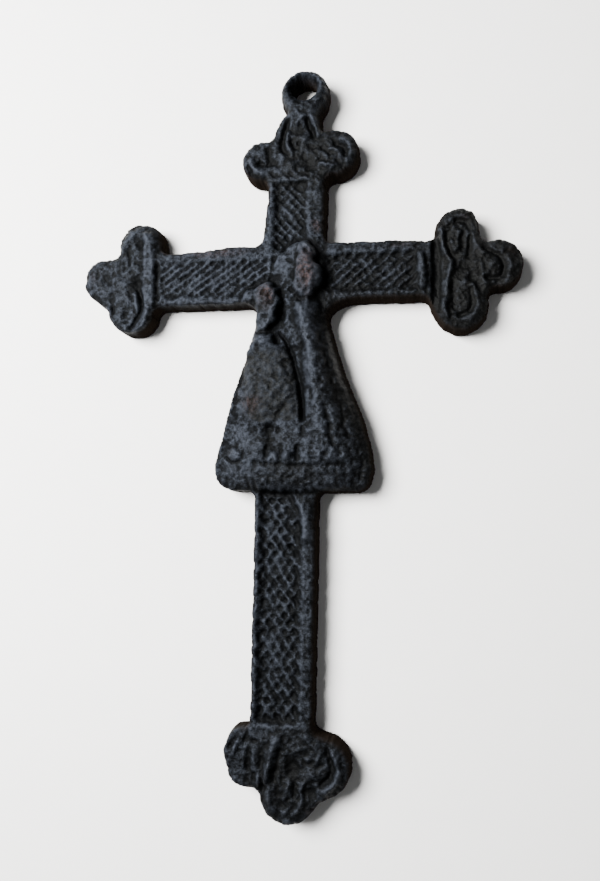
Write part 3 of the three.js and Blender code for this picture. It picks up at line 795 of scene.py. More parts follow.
@dataclass(frozen=True)
class Mother:
    """The mother: a bell of skirt, a mantle with its front fold, a veil, a head and a crown."""

    hem: float = -26.35
    outline_left: Rows = ((-26.6, -4.6), (-26.2, -7.0), (-25.4, -8.9), (-24, -9.6), (-22.5, -9.3),
                          (-18.2, -8.2), (-15.2, -7.4), (-11.5, -6.4), (-9, -5.6), (-6, -4.7), (-4, -4.3))
    outline_right: Rows = ((-26.4, 8.4), (-25.4, 9.7), (-24, 10.2), (-22.7, 10.2), (-20.7, 9.7), (-17.9, 8.9),
                           (-14.8, 7.7), (-12, 6.6), (-8.5, 5.35), (-5, 4.3), (-3, 3.9))
    fold_foot: Rows = ((-24, 1.3), (-21.3, 1.65), (-19, 1.95), (-16.6, 1.9), (-13.7, 1.74), (-10.7, 1.2),
                       (-8.3, 0.55), (-5.85, -0.25), (-3.4, -0.65), (-0.95, -1.3), (2.2, -2.2))
    fold_crest: Rows = ((-24, 3.6), (-20.1, 3.95), (-16.6, 3.55), (-13.1, 3.0), (-10.1, 2.6), (-7.7, 2.1),
                        (-5.3, 1.6), (-3.5, 1.4), (-1.5, 1.2), (2.5, 0.6))
    crest_height: Rows = ((-26.3, 3.7), (-25, 4.4), (-22.5, 4.9), (-18, 5.3), (-10, 5.45), (-5, 5.3),
                          (-2, 5.2), (1, 5.1), (4, 4.3))
    fold_drop: Rows = ((-22.6, 0.05), (-20, 0.4), (-17.5, 0.85), (-12, 1.25), (-6, 1.5), (2, 1.7))
    bulge_left: Pair = (2.6, 0.6)
    bulge_right: Pair = (1.7, 0.75)
    wear: float = 0.9
    button_row: float = -21.9
    buttons: Rows = ((-3.7, 0.3), (-1.65, 0.42), (0.12, 0.62), (2.3, 0.42), (3.85, 0.4), (5.3, 0.36),
                     (6.8, 0.3))
    flower_rows: int = 15
    flower_top: float = -6.6
    flower_row: float = 1.05
    flower_pitch: float = 1.15
    flower_stray: float = 0.16
    pleat_pitch: float = 0.92
    pleat_depth: float = 0.045
    pleat_top: float = -23.1

    def press(self, relief: Relief, edge: float) -> None:
        """Raise the mother over the crossing.

        Args:
            relief: The height map to change.
            edge: The height of the skirt's side edges.
        """
        self.skirt(relief, edge)
        self.dress(relief)
        self.head(relief)

    def skirt(self, relief: Relief, edge: float) -> None:
        """Raise the skirt and mantle as one bell with the front fold's crest.

        Args:
            relief: The height map to change.
            edge: The height of the skirt's side edges.
        """
        spot = relief.window(-10.5, 11, self.hem - 0.5, 4.6)
        x, y = relief.x[spot], relief.y[spot]
        left, right = along(y, self.outline_left), along(y, self.outline_right)
        crest = along(y, self.fold_crest)
        foot = along(y, self.fold_foot)
        top = along(y, self.crest_height)
        out_right = np.clip((x - crest) / np.maximum(right - crest, 0.1), 0, 1)
        slope_right = edge + (top - edge) * bulging(out_right, self.bulge_right)
        drop = along(y, self.fold_drop)
        down = smooth_step(0, 1, (crest - x) / np.maximum(crest - foot, 0.1))
        front = top - drop * down
        out_left = np.clip((foot - x) / np.maximum(foot - left, 0.1), 0, 1)
        base_left = edge + (top - drop - edge) * bulging(out_left, self.bulge_left)
        height = np.where(x > crest, slope_right, np.where(x > foot, front, base_left))
        ends = smooth_step(self.hem - 0.15, self.hem + 0.8, y + 0.12 * np.sin(x * 5.2))
        upper = np.where(x < foot, smooth_step(-4.4, -6.4, y), smooth_step(-1.6, -4.4, y))
        weight = ends * upper * smooth_step(-0.25, 0.1, right - x) * smooth_step(-0.25, 0.1, x - left)
        plate = relief.z[spot]
        relief.z[spot] = plate + np.maximum(height - plate, 0) * weight

    def dress(self, relief: Relief) -> None:
        """Press the folds, brocade, buttons and hem pleats.

        Args:
            relief: The height map to change.
        """
        strokes = (
            Stroke(((3.2, -5.2), (4.3, -10), (5.8, -15), (7.0, -19.5)), 0.9, -0.28),
            Stroke(((4.4, -16), (5.1, -18.5), (5.4, -20.5)), 0.6, -0.28),
            Stroke(((1.6, -8.8), (2.1, -9.9), (2.3, -10.8)), 0.7, -0.22),
            Stroke(((2.3, -12.0), (2.4, -12.6)), 0.5, -0.2),
            Stroke(((2.75, -14.2), (2.95, -15.3)), 0.55, -0.34),
            Stroke(((-4.3, -18.8), (-3.0, -18.6), (-1.2, -18.8)), 1.2, -0.3),
            Stroke(((-2.4, -19.0), (-2.1, -20.3), (-1.9, -21.2)), 2.0, -0.55),
            Stroke(((-8.3, -20.2), (-7.0, -21.0), (-5.8, -20.4)), 0.5, -0.22),
            Stroke(((-7.6, -22.2), (-6.6, -22.9), (-5.6, -22.4), (-5.4, -21.5)), 0.4, -0.32),
            Stroke(((-4.2, -22.8), (-1, -23.1), (3, -23.1), (6.5, -22.9)), 0.5, -0.22),
            Stroke(((1.2, -20.9), (1.25, -22.4)), 0.7, -0.45),
            Stroke(((-0.75, -21.0), (-0.8, -22.8)), 0.55, -0.35),
            Stroke(((-2.6, -21.0), (-2.55, -22.8)), 0.55, -0.35),
        )
        mounds = (
            Mound(-6.6, -21.8, 0.9, 0.85, 0.28, section=Section.ROUND),
            Mound(1.0, -19.0, 0.75, 0.5, 0.35),
            Mound(2.5, -19.0, 0.6, 0.4, 0.3),
            Mound(2.3, -20.2, 0.45, 0.8, 0.3),
            Mound(1.75, -18.8, 0.22, 0.22, -0.3),
            Mound(-1.2, -18.95, 0.25, 0.3, -0.4),
            Mound(-6.7, -18.7, 1.3, 0.8, 0.25),
            Mound(2.0, -11.6, 0.5, 0.9, 0.25),
            Mound(2.5, -13.4, 0.5, 0.6, 0.25),
            Mound(2.2, -14.7, 0.35, 0.6, 0.25),
        )
        for piece in strokes + mounds:
            piece.press(relief, self.wear)
        for x, rise in self.buttons:
            Mound(x, self.button_row - 0.02 * x, 0.5, 0.75, rise).press(relief, self.wear)
        self.brocade(relief)
        self.pleats(relief)

    def brocade(self, relief: Relief) -> None:
        """Scatter the mantle's raised flowers on its right slope.

        Args:
            relief: The height map to change.
        """
        rng = np.random.default_rng(7)
        stray, pitch = self.flower_stray, self.flower_pitch
        for row in range(self.flower_rows):
            y = self.flower_top - self.flower_row * row
            first, last = float(along(y, self.fold_crest)) + 0.5, float(along(y, self.outline_right))
            for column in range(int((last - first) / pitch) + 1):
                x = first + (column + 0.5 * (row % 2)) * pitch + rng.uniform(-stray, stray)
                if x < last - 0.5:
                    size = rng.uniform(0.24, 0.38)
                    high = y + rng.uniform(-stray, stray)
                    Mound(x, high, size, size * 1.25, rng.uniform(0.1, 0.24)).press(relief)
                    Mound(x + 0.5, y - 0.35, 0.28, 0.28, -0.1).press(relief)

    def pleats(self, relief: Relief) -> None:
        """Cut the hem's fine pleats, fanning out a little.

        Args:
            relief: The height map to change.
        """
        spot = relief.window(-10, 10.5, self.hem - 0.2, self.pleat_top + 0.3)
        x, y = relief.x[spot], relief.y[spot]
        fan = x * (1 - 0.012 * (y - self.pleat_top - 0.1)) + relief.lumps((0.18, 1.4, 61), spot=spot)
        wave = np.cos(2 * math.pi * fan / self.pleat_pitch)
        weight = smooth_step(self.pleat_top, self.pleat_top - 0.9, y)
        weight = weight * smooth_step(self.hem, self.hem + 0.5, y)
        relief.z[spot] += (self.pleat_depth + relief.lumps((0.03, 2.0, 62), spot=spot)) * wave * weight

    def head(self, relief: Relief) -> None:
        """Raise the veil, head and crown, and press the face.

        Args:
            relief: The height map to change.
        """
        for hollow in (Mound(-2.75, -0.1, 0.45, 0.8, -0.4), Mound(-2.3, 2.0, 0.45, 0.7, -0.35)):
            hollow.press(relief)
        veil = Mass(((-0.6, 3.5), (0.5, 4.1), (1.7, 4.3), (2.4, 3.5), (2.9, 2.4), (3.0, 1.5), (3.6, 1.0),
                     (4.0, 0.2), (3.8, -0.7), (3.3, -1.5), (2.9, -2.4), (2.6, -3.2), (2.7, -4.2), (2.5, -5.2),
                     (2.1, -6.2), (2.1, -7.2), (2.4, -8.6), (1.1, -9.2), (0.1, -8.4), (-0.6, -7.1),
                     (-1.0, -5.9), (-1.1, -4.6), (-1.2, -3.4), (-1.6, -2.2), (-2.2, -1.0), (-2.5, 0.2),
                     (-2.4, 1.6), (-1.7, 2.7)), 3.5, 4.45, 0.7, 0.3)
        head = Mass(((0.6, -2.4), (0.3, -1.2), (0.4, 0.3), (0.8, 1.8), (1.2, 2.7), (1.9, 2.9), (2.5, 2.3),
                     (2.8, 1.5), (3.4, 0.9), (3.6, 0.0), (3.3, -0.9), (2.9, -1.8), (2.1, -2.6), (1.3, -2.8)),
                    4.6, 5.12, 1.2, 0.1)
        crown = Mass(((0.6, 2.5), (0.9, 3.6), (1.6, 4.0), (2.3, 3.3), (2.6, 2.4), (1.6, 2.2)), 4.3, 5.15, 0.6)
        for part, seed in ((veil, 64), (head, 164), (crown, 264)):
            part.build_up(relief, seed)
        for piece in (
            Stroke(((0.9, 2.5), (1.7, 2.7), (2.6, 2.4)), 0.4, -0.16),
            Stroke(((0.2, -2.1), (0.6, -1.6), (1.1, -1.3)), 0.45, -0.16),
            Stroke(((-0.2, 0.6), (-0.2, -1.0), (0.0, -2.2)), 0.5, -0.12),
            Stroke(((0.9, -2.6), (1.2, -3.4), (1.9, -4.2)), 0.5, -0.2),
            *(Mound(x, y, 0.26, 0.3, 0.16) for x, y in ((1.0, 3.3), (1.6, 3.6), (2.1, 3.1))),
            Mound(2.5, -0.2, 0.55, 1.0, 0.22),
            Mound(2.0, -1.05, 0.45, 0.5, 0.22),
            Face(1.9, -0.1, 2.2, 3.6, 8, 0.62),
        ):
            piece.press(relief)


@dataclass(frozen=True)
class Child:
    """The child before the mother's left side: crowned head, shoulders and a long dusty robe."""

    robe_right: Rows = ((-17.9, 1.45), (-17.5, 1.42), (-15.4, 1.32), (-13, 0.9), (-10.6, 0.22), (-8.4, -0.6),
                        (-7.6, -1.2), (-6.4, -2.0))
    robe_left: Rows = ((-18, -8.1), (-15.2, -7.4), (-11.5, -6.4), (-9, -5.6), (-6, -4.7))
    robe_foot: Rows = ((-8, -16.4), (-7.2, -16.7), (-5.7, -17.5), (-3, -18.0), (-0.2, -17.8), (1.5, -17.6))
    robe_height: float = 4.8
    robe_edge: float = 2.3
    robe_round: float = 2.2
    robe_bulge: Pair = (2.4, 0.62)
    gap_floor: float = 3.5
    dusting: float = 0.75

    def press(self, relief: Relief) -> None:
        """Raise the child over the mother's robe."""
        self.robe(relief)
        self.head(relief)

    def robe(self, relief: Relief) -> None:
        """Raise the robe's broad front and cut the shadowed gap beside it.

        Args:
            relief: The height map to change.
        """
        spot = relief.window(-9.5, 3, -19, -5.4)
        x, y = relief.x[spot], relief.y[spot]
        ragged = relief.lumps((0.14, 0.7, 71), spot=spot)
        right = along(y, self.robe_right) + ragged
        left = along(y, self.robe_left)
        foot = along(x, self.robe_foot) + 1.5 * ragged
        inside = smooth_step(0.12, -0.2, x - right) * smooth_step(-0.15, 0.2, y - foot)
        inside = inside * smooth_step(-6.0, -7.4, y + 0.075 * (x + 3.6) ** 2)
        crest = right - self.robe_round
        out = np.clip((crest - x) / np.maximum(crest - left, 0.1), 0, 1)
        height = self.robe_edge + (self.robe_height - self.robe_edge) * bulging(out, self.robe_bulge)
        height = height - 0.8 * smooth_step(1.7, 0.0, right - x) - 0.3 * smooth_step(2.5, 0.0, y - foot)
        height = height + relief.lumps((0.12, 1.6, 72), (0.17, 0.7, 73), (0.1, 0.4, 74), spot=spot)
        relief.z[spot] += np.maximum(height - relief.z[spot], 0) * inside
        gap = smooth_step(-0.2, 0.2, x - right) * smooth_step(0.75, 0.3, x - right)
        gap = gap * smooth_step(-18.2, -17.2, y) * smooth_step(-6.2, -7.6, y)
        relief.z[spot] = relief.z[spot] * (1 - gap) + np.minimum(relief.z[spot], self.gap_floor) * gap
        relief.dust[spot] += self.dusting * inside * smooth_step(-7, -4.2, x) * smooth_step(-8, -10, y)
        for piece in (
            Stroke(((-1.5, -17.2), (-0.6, -16.2), (0.1, -15.2)), 0.5, -0.3),
            Stroke(((-5.6, -10.5), (-6.2, -13.2), (-6.7, -15.6)), 0.6, -0.14),
            Mound(-4.0, -8.0, 0.9, 0.6, 0.3, 20),
            Mound(-3.5, -9.8, 0.35, 0.3, -0.25),
            Mound(-4.3, -10.9, 0.35, 0.35, -0.22),
            Mound(-2.3, -11.3, 0.3, 0.35, 0.25),
            Mound(-2.1, -12.1, 0.2, 0.2, 0.3),
            Mound(0.35, -16.2, 0.4, 0.8, 0.25),
            Mound(-6.4, -14.8, 0.5, 0.9, 0.16),
            Mound(-4.6, -15.2, 0.35, 0.35, -0.2),
        ):
            piece.press(relief)

    def head(self, relief: Relief) -> None:
        """Cut the gaps beside the head, raise the head, hand and shoulder, and press the face.

        Args:
            relief: The height map to change.
        """
        strip = Mass(((-2.8, -0.6), (-2.2, -0.8), (-1.6, -1.9), (-1.2, -3.2), (-1.1, -4.6), (-1.0, -6.0),
                      (-1.6, -6.3), (-1.5, -5.0), (-1.35, -3.5), (-1.7, -2.2), (-2.5, -1.3)), 3.7, 3.7, 0.22)
        nook = Mass(((-2.7, -6.8), (-2.0, -6.3), (-1.5, -5.2), (-1.0, -5.4), (-0.95, -6.2), (-0.6, -7.2),
                     (-0.1, -8.2), (0.1, -9.0), (-0.9, -8.9), (-2.0, -8.7), (-2.3, -7.7)), 3.9, 3.9, 0.5)
        for gap in (strip, nook):
            gap.cut_down(relief)
        hand = Mass(((-6.4, -2.4), (-5.4, -1.5), (-4.6, -1.6), (-4.2, -2.6), (-4.2, -3.8), (-4.1, -5.2),
                     (-4.9, -5.6), (-5.9, -5.0), (-6.6, -3.8)), 3.2, 3.8, 0.9, 0.05)
        shoulder = Mass(((-5.4, -8.8), (-4.9, -7.8), (-4.0, -7.3), (-3.0, -7.3), (-2.2, -7.8), (-1.9, -8.8),
                         (-2.2, -9.8), (-3.8, -10.2), (-5.3, -9.8)), 3.4, 4.6, 0.9, 0.05)
        head = Mass(((-4.6, -2.3), (-4.2, -1.3), (-3.2, -0.8), (-2.2, -1.0), (-1.4, -1.9), (-1.1, -3.1),
                     (-1.2, -4.2), (-1.45, -5.3), (-2.1, -6.3), (-3.0, -7.0), (-4.0, -6.9), (-4.4, -5.7),
                     (-4.4, -4.4), (-4.6, -3.4)), 3.4, 4.85, 0.75, 0.08)
        for part, seed in ((hand, 365), (shoulder, 465), (head, 65)):
            part.build_up(relief, seed)
        for piece in (
            Stroke(((-4.2, -2.75), (-3.1, -2.45), (-1.9, -2.8)), 0.4, -0.16),
            Stroke(((-4.3, -7.1), (-3.4, -7.25), (-2.5, -7.2)), 0.5, -0.3),
            *(Mound(x, y, 0.26, 0.3, 0.18) for x, y in ((-3.7, -1.9), (-3.0, -1.6), (-2.4, -1.95))),
            Face(-3.0, -4.2, 1.95, 3.0, 5, 0.62),
        ):
            piece.press(relief)


@dataclass(frozen=True)
class CrossBody:
    """The plate of the cross: rails, panels, lobed ends, the figures and the eyelet's swelling."""

    surface: float = 3.3
    skirt_edge: float = 2.2
    eye_middle: Pair = (1.0, 23.25)
    eye_height: float = 3.95
    shaft_ridge: Stroke = Stroke(((1.2, -26.6), (1.6, -28.2), (2.1, -29.8), (2.3, -31.6)), 1.7, 0.5)
    softness: float = 0.13
    pit_depth: float = 0.1
    rusty: tuple[Mound, ...] = (
        Mound(1.8, 0.4, 1.7, 3.6, 0.9), Mound(-3.1, -3.0, 1.4, 2.2, 0.95), Mound(2.8, 6.2, 0.9, 1.2, 1.1),
        Mound(-9.8, 3.4, 6.2, 0.9, 0.65), Mound(-4.4, -15.8, 2.0, 1.5, 1.0), Mound(-16.8, 5.2, 1.4, 1.6, 0.7),
        Mound(25.8, 2.2, 1.2, 1.0, 0.55), Mound(20.8, 6.4, 1.4, 0.8, 0.5), Mound(-26.2, 0.4, 0.7, 1.6, 0.5),
        Mound(13, 3.4, 3.0, 0.6, 0.5), Mound(6.5, -54.6, 1.6, 1.0, 0.6), Mound(-4.8, -53.8, 1.0, 0.7, 0.5),
        Mound(3.0, -62.6, 1.4, 0.8, 0.5), Mound(-17.6, -5.6, 1.2, 1.2, 0.6),
    )
    # Patches of painted shade, strongest over the right end, the upper end, the foot and the mantle's right
    # slope, where less light falls.
    sooty: tuple[Mound, ...] = (
        Mound(22.5, 0, 9.5, 12.5, 1.3), Mound(1.5, 15.5, 9, 6.5, 0.68), Mound(0.8, -59, 9, 7.5, 0.52),
        Mound(7.5, -13, 4.4, 12.5, 1.15, 15), Mound(9, 0, 8, 5, 0.4), Mound(0.8, -40, 5, 20, 0.3),
        Mound(-3.3, -4.6, 1.8, 3.4, 0.3), Mound(-22, 0, 7, 9, 0.3), Mound(-2.0, -20, 3.0, 1.6, 0.5),
        Mound(1.5, -24.3, 9, 2.2, 0.42), Mound(0.6, 8.2, 4, 3.5, 0.25), Mound(-3.1, -3.6, 1.6, 2.6, 0.25),
    )

    def panels(self) -> tuple[Panel, ...]:
        """Describe the four sunken panels.

        Returns:
            The panels.
        """
        return (
            Panel(-17.2, -3.0, 0.0, 2.55, False, depth=0.24, slope=0.6, cell_long=1.35, cell_wide=0.95,
                  strand=0.26, under=0.4, seed=81),
            Panel(3.6, 15.0, 0.3, 2.55, False, depth=0.36, slope=0.6, cell_long=1.4, cell_wide=1.2,
                  under=0.5, seed=82),
            Panel(3.0, 12.2, -0.5, 2.35, True, depth=0.42, cell_long=1.27, cell_wide=1.2, seed=83),
            Panel(-53.4, -26.0, -0.85, 2.85, True, depth=0.52, slope=0.75, cell_long=1.8, cell_wide=1.25,
                  phase_long=0.17, phase_wide=0.48, strand=0.29, seed=84),
        )

    def sculpt(self) -> Relief:
        """Make the whole upper side's height map.

        Returns:
            The finished relief.
        """
        relief = Relief()
        relief.z += self.surface
        for panel in self.panels():
            panel.carve(relief, self.surface)
        for end in (left_end(), right_end(), top_end(), foot_end()):
            end.press(relief)
        self.shaft_ridge.press(relief)
        self.swell_eyelet(relief)
        Mother().press(relief, self.skirt_edge)
        Child().press(relief)
        self.weather(relief)
        log.info("relief: %d by %d points", *relief.z.shape)
        return relief

    def swell_eyelet(self, relief: Relief) -> None:
        """Thicken the top towards the eyelet.

        Args:
            relief: The height map to change.
        """
        distance = np.hypot(relief.x - self.eye_middle[0], relief.y - self.eye_middle[1])
        lift = smooth_step(5.2, 3.2, distance)
        relief.z += (self.eye_height - self.surface) * lift

    def weather(self, relief: Relief) -> None:
        """Soften the cast relief, pit it, and lay on rust, dust and patches of painted shade.

        Args:
            relief: The height map to change.
        """
        soft = relief.blur(relief.z, self.softness)
        pits = np.clip(relief.noise(0.55, 91) - 0.35, 0, 1) + np.clip(relief.noise(0.34, 92) - 0.4, 0, 1)
        relief.z = soft - self.pit_depth * pits
        relief.z += relief.lumps((0.085, 0.31, 93), (0.065, 0.6, 94), (0.04, 1.4, 90))
        for patch in self.rusty:
            patch.press(relief, layer=relief.rust)
        # The painted shade patches darken the colour where less light falls.
        for patch in self.sooty:
            patch.press(relief, layer=relief.soot)
        relief.rust *= 0.75 + relief.lumps((0.45, 1.1, 95))
        relief.soot *= 1 + relief.lumps((0.3, 2.6, 99))
        relief.dust += relief.lumps((0.08, 3.0, 96))


@dataclass(frozen=True)
class Nudge:
    """A small push of the outline round one place, as hand-cut patterns have."""

    place: Pair
    reach: Pair
    move: Pair

    def shift(self, relief: Relief, x: np.ndarray, y: np.ndarray) -> None:
        """Move the places where the outline is looked up against the push.

        Args:
            relief: The grid.
            x: Places across, changed in place.
            y: Places along, changed in place.
        """
        off = np.hypot((relief.x - self.place[0]) / self.reach[0], (relief.y - self.place[1]) / self.reach[1])
        share = smooth_step(1, 0, off)
        x -= self.move[0] * share
        y -= self.move[1] * share


@dataclass
class Outline:
    """The closed edge of the casting, read from the fixed solid by looking straight down."""

    relief: Relief
    soften: float = 0.2
    draft: float = 0.14
    web: float = 0.95
    web_top: float = 18.6
    near_edge: float = 0.5
    wobble: tuple[Lumps, ...] = ((0.035, 0.9, 97), (0.02, 0.4, 98))
    nudges: tuple[Nudge, ...] = (
        Nudge((-5.0, 4.0), (14.0, 3.0), (0.0, 0.75)), Nudge((9.8, 4.0), (12.0, 3.0), (0.0, 0.5)),
        Nudge((-4.0, 5.0), (2.5, 6.5), (-0.45, 0.0)), Nudge((-16.3, 5.2), (2.5, 3.0), (-0.25, 0.0)),
        Nudge((-16.3, -5.0), (2.5, 3.0), (-0.4, 0.0)), Nudge((-24.6, -3.5), (1.9, 1.9), (-0.15, -0.65)),
        Nudge((22.3, 5.2), (2.4, 2.4), (-0.4, -0.35)), Nudge((15.6, -4.2), (2.2, 2.2), (-0.5, 0.0)),
        Nudge((-6.9, -58.2), (2.4, 2.4), (0.35, 0.1)), Nudge((-6.3, -54.0), (2.0, 2.0), (-0.3, 0.25)),
        Nudge((3.8, -61.3), (2.2, 2.2), (0.35, -0.35)), Nudge((-7.0, -14.0), (3.0, 11.0), (-0.28, 0.0)),
    )
    depth: np.ndarray = field(init=False)
    lean_x: np.ndarray = field(init=False)
    lean_y: np.ndarray = field(init=False)

    def read(self, node: bpy.types.Object) -> None:
        """Find how deep inside the solid's edge each grid point is, and which way the edge leans.

        Args:
            node: The fixed solid; only its mesh is read.
        """
        relief = self.relief
        solid = self.look_down(node)
        webbed = -self.spread(-self.spread(solid))
        solid = np.where(relief.y < self.web_top, webbed, solid)
        soft = relief.blur(solid, self.soften)
        slope_y, slope_x = np.gradient(soft, relief.pitch)
        steep = np.maximum(np.hypot(slope_x, slope_y), 1e-6)
        near = (soft - 0.5) / steep
        depth = np.where(np.abs(near) < self.near_edge, near, np.sign(near))
        self.depth = depth - self.draft + relief.lumps(*self.wobble)
        self.lean_x, self.lean_y = slope_x / steep, slope_y / steep

    def look_down(self, node: bpy.types.Object) -> np.ndarray:
        """Look straight down on the solid from each grid point, moved by the nudges.

        Args:
            node: The fixed solid.

        Returns:
            1 where the solid stands and 0 elsewhere.
        """
        mesh = node.data
        tree = BVHTree.FromPolygons([v.co[:] for v in mesh.vertices], [p.vertices[:] for p in mesh.polygons])
        x, y = self.relief.x.copy(), self.relief.y.copy()
        for nudge in self.nudges:
            nudge.shift(self.relief, x, y)
        columns = ((x.ravel() + CROSSING[0]) * MM).tolist()
        rows = ((y.ravel() + CROSSING[1]) * MM).tolist()
        down, cast = Vector((0, 0, -1)), tree.ray_cast
        hits = [cast(Vector((column, row, 1)), down)[0] is not None for column, row in zip(columns, rows)]
        return np.array(hits, float).reshape(x.shape)

    def spread(self, values: np.ndarray) -> np.ndarray:
        """Give each point the highest value within the web's radius.

        Args:
            values: The grid of values.

        Returns:
            The spread values.
        """
        radius = self.web / self.relief.pitch
        result = values.copy()
        for down in range(-int(radius), int(radius) + 1):
            for across in range(-int(radius), int(radius) + 1):
                if down**2 + across**2 <= radius**2:
                    result = np.maximum(result, np.roll(values, (down, across), axis=(0, 1)))
        return result


@dataclass
class Shell:
    """The growing mesh: points in mm, triangles, and the finish's layers by name."""

    verts: np.ndarray
    faces: np.ndarray
    layers: dict[str, np.ndarray]

    def grow(self, verts: np.ndarray, faces: np.ndarray, finish: dict[str, np.ndarray | float]) -> None:
        """Add points and triangles.

        Args:
            verts: The new points.
            faces: The new triangles, as indices in the grown mesh.
            finish: The new points' layers, 0 where one isn't named.
        """
        for name, values in self.layers.items():
            self.layers[name] = np.concatenate([values, np.zeros(len(verts)) + finish.get(name, 0.0)])
        self.verts = np.concatenate([self.verts, verts])
        self.faces = np.concatenate([self.faces, faces])


@dataclass
class Casting:
    """The cast body as one closed mesh: the relief above, drafted sides and a flat back."""

    relief: Relief
    outline: Outline
    edge_round: float = 0.6
    lobe_round: float = 0.85
    round_drop: float = 0.8
    eye_round: float = 1.0
    eye_rise: float = 1.95
    eye_inset: float = 0.55
    eye_from: Pair = (19.6, 21.6)
    arm_ends_from: Pair = (15.8, 17.5)
    top_from: Pair = (11.6, 13)
    foot_from: Pair = (-53.2, -54.6)
    lowest: float = 0.9
    near: float = 0.32
    far: float = 1.1
    hollow_near: Pair = (0.16, 0.6)
    hollow_far: Pair = (0.5, 0.5)
    proud_near: Pair = (0.14, 0.7)
    proud_far: Pair = (0.45, 0.3)
    # The painted shade along the top's rim: how dark, how far in from the edge, and how much of it rims
    # facing the light lose.
    rim_shade: float = 0.85
    rim_wide: float = 0.35
    lit_rim: float = 0.85
    crisp_rim: float = 0.55
    side_steps: tuple[float, ...] = (0.82, 0.6, 0.36, 0.12, 0.0)
    side_lumps: float = 0.05
    toe: float = 0.1
    back_step: int = 4
    back_margin: float = 0.55
    back_clear: float = 0.3
    back_lift: float = 0.05
    sharp_angle: float = 62

    def build(self) -> bpy.types.Object:
        """Build the casting.

        Returns:
            The new object, in metres, in the fixed frame.
        """
        keep, grid_x, grid_y = self.snap()
        faces = self.cells(keep)
        used, faces = self.compact(faces, keep.size)
        places = np.stack([grid_x.ravel()[used], grid_y.ravel()[used]], 1)
        loops = self.loops(faces)
        distance = nearest_distance(places[np.concatenate(loops)], places)
        z = self.relief.z.ravel()[used] - self.shoulder(*places.T, distance)
        verts = np.column_stack([places, np.maximum(z, self.lowest)])
        shell = Shell(verts, faces, self.layers(used, distance))
        self.back(shell, self.sides(shell, loops))
        return self.make_object(shell)

    def snap(self) -> tuple[np.ndarray, np.ndarray, np.ndarray]:
        """Move the grid points nearest the edge onto it.

        Returns:
            Which points are kept, and every point's place across and along.
        """
        relief, outline = self.relief, self.outline
        depth, half = outline.depth, 0.5 * relief.pitch
        keep = depth > -half
        near = np.abs(depth) <= half
        x = np.where(near, relief.x - depth * outline.lean_x, relief.x)
        y = np.where(near, relief.y - depth * outline.lean_y, relief.y)
        return keep, x, y

    def cells(self, keep: np.ndarray) -> np.ndarray:
        """Make faces from the grid's cells, as triangles that face up.

        Args:
            keep: Which grid points are kept.

        Returns:
            Rows of three grid indices.
        """
        rows, columns = keep.shape
        index = np.arange(rows * columns).reshape(rows, columns)
        corners = np.stack([index[:-1, :-1], index[:-1, 1:], index[1:, 1:], index[1:, :-1]], -1)
        corners = corners.reshape(-1, 4)
        kept = keep.ravel()[corners]
        full = corners[kept.all(1)]
        flip = (full[:, 0] // columns + full[:, 0]) % 2 == 0
        one, two = full[flip], full[~flip]
        parts = [one[:, [0, 1, 2]], one[:, [0, 2, 3]], two[:, [0, 1, 3]], two[:, [1, 2, 3]]]
        for missing in range(4):
            rest = [k for k in range(4) if k != missing]
            three = kept[:, rest].all(1) & ~kept[:, missing]
            parts.append(corners[three][:, rest])
        return np.concatenate(parts)

    def compact(self, faces: np.ndarray, total: int) -> tuple[np.ndarray, np.ndarray]:
        """Drop loose bits and unused points.

        Args:
            faces: Triangles of grid indices.
            total: The number of grid points.

        Returns:
            The used grid indices, and the triangles in terms of them.
        """
        for _ in range(6):
            starts = self.open_edges(faces, total)[:, 0]
            pinched = np.bincount(starts, minlength=total) > 1
            if not pinched.any():
                break
            faces = faces[~pinched[faces].any(1)]
        used = np.unique(faces)
        place = np.zeros(total, int)
        place[used] = np.arange(len(used))
        return used, place[faces]

    def open_edges(self, faces: np.ndarray, total: int) -> np.ndarray:
        """Find the directed edges that have a face on one side alone.

        Args:
            faces: Triangles of point indices.
            total: The number of points.

        Returns:
            Rows of two point indices.
        """
        edges = np.concatenate([faces[:, [0, 1]], faces[:, [1, 2]], faces[:, [2, 0]]]).astype(np.int64)
        forward = edges[:, 0] * total + edges[:, 1]
        backward = edges[:, 1] * total + edges[:, 0]
        return edges[~np.isin(forward, backward)]

    def loops(self, faces: np.ndarray) -> list[np.ndarray]:
        """Chain the open edges into closed loops.

        Args:
            faces: The upper side's triangles.

        Returns:
            Each loop's point indices in order.
        """
        total = int(faces.max()) + 1
        follow = dict(self.open_edges(faces, total).tolist())
        found = []
        while follow:
            start, here = follow.popitem()
            loop = [start]
            while here != start:
                loop.append(here)
                here = follow.pop(here)
            found.append(np.array(loop))
        return found

    def zones(self, x: np.ndarray, y: np.ndarray) -> tuple[np.ndarray, np.ndarray]:
        """Say how much each point belongs to the eyelet and to the lobes or the skirt.

        Args:
            x: Places across, in mm.
            y: Places along, in mm.

        Returns:
            The eyelet's share and the lobes' share.
        """
        lobes = np.maximum(smooth_step(*self.arm_ends_from, np.abs(x)), smooth_step(*self.top_from, y))
        lobes = np.maximum(lobes, smooth_step(*self.foot_from, y))
        skirt = smooth_step(3.9, 4.6, np.abs(x)) * smooth_step(-4.6, -6, y) * smooth_step(-27.5, -26.5, y)
        return smooth_step(*self.eye_from, y), np.clip(lobes + skirt, 0, 1)

    def lower_left(self, x: np.ndarray, y: np.ndarray) -> np.ndarray:
        """Say how much each point belongs to the left limb's lower half, whose rim is crisp and lit, with
        less painted shade.
        """
        return smooth_step(-3.5, -5, x) * smooth_step(0.5, -0.5, y)

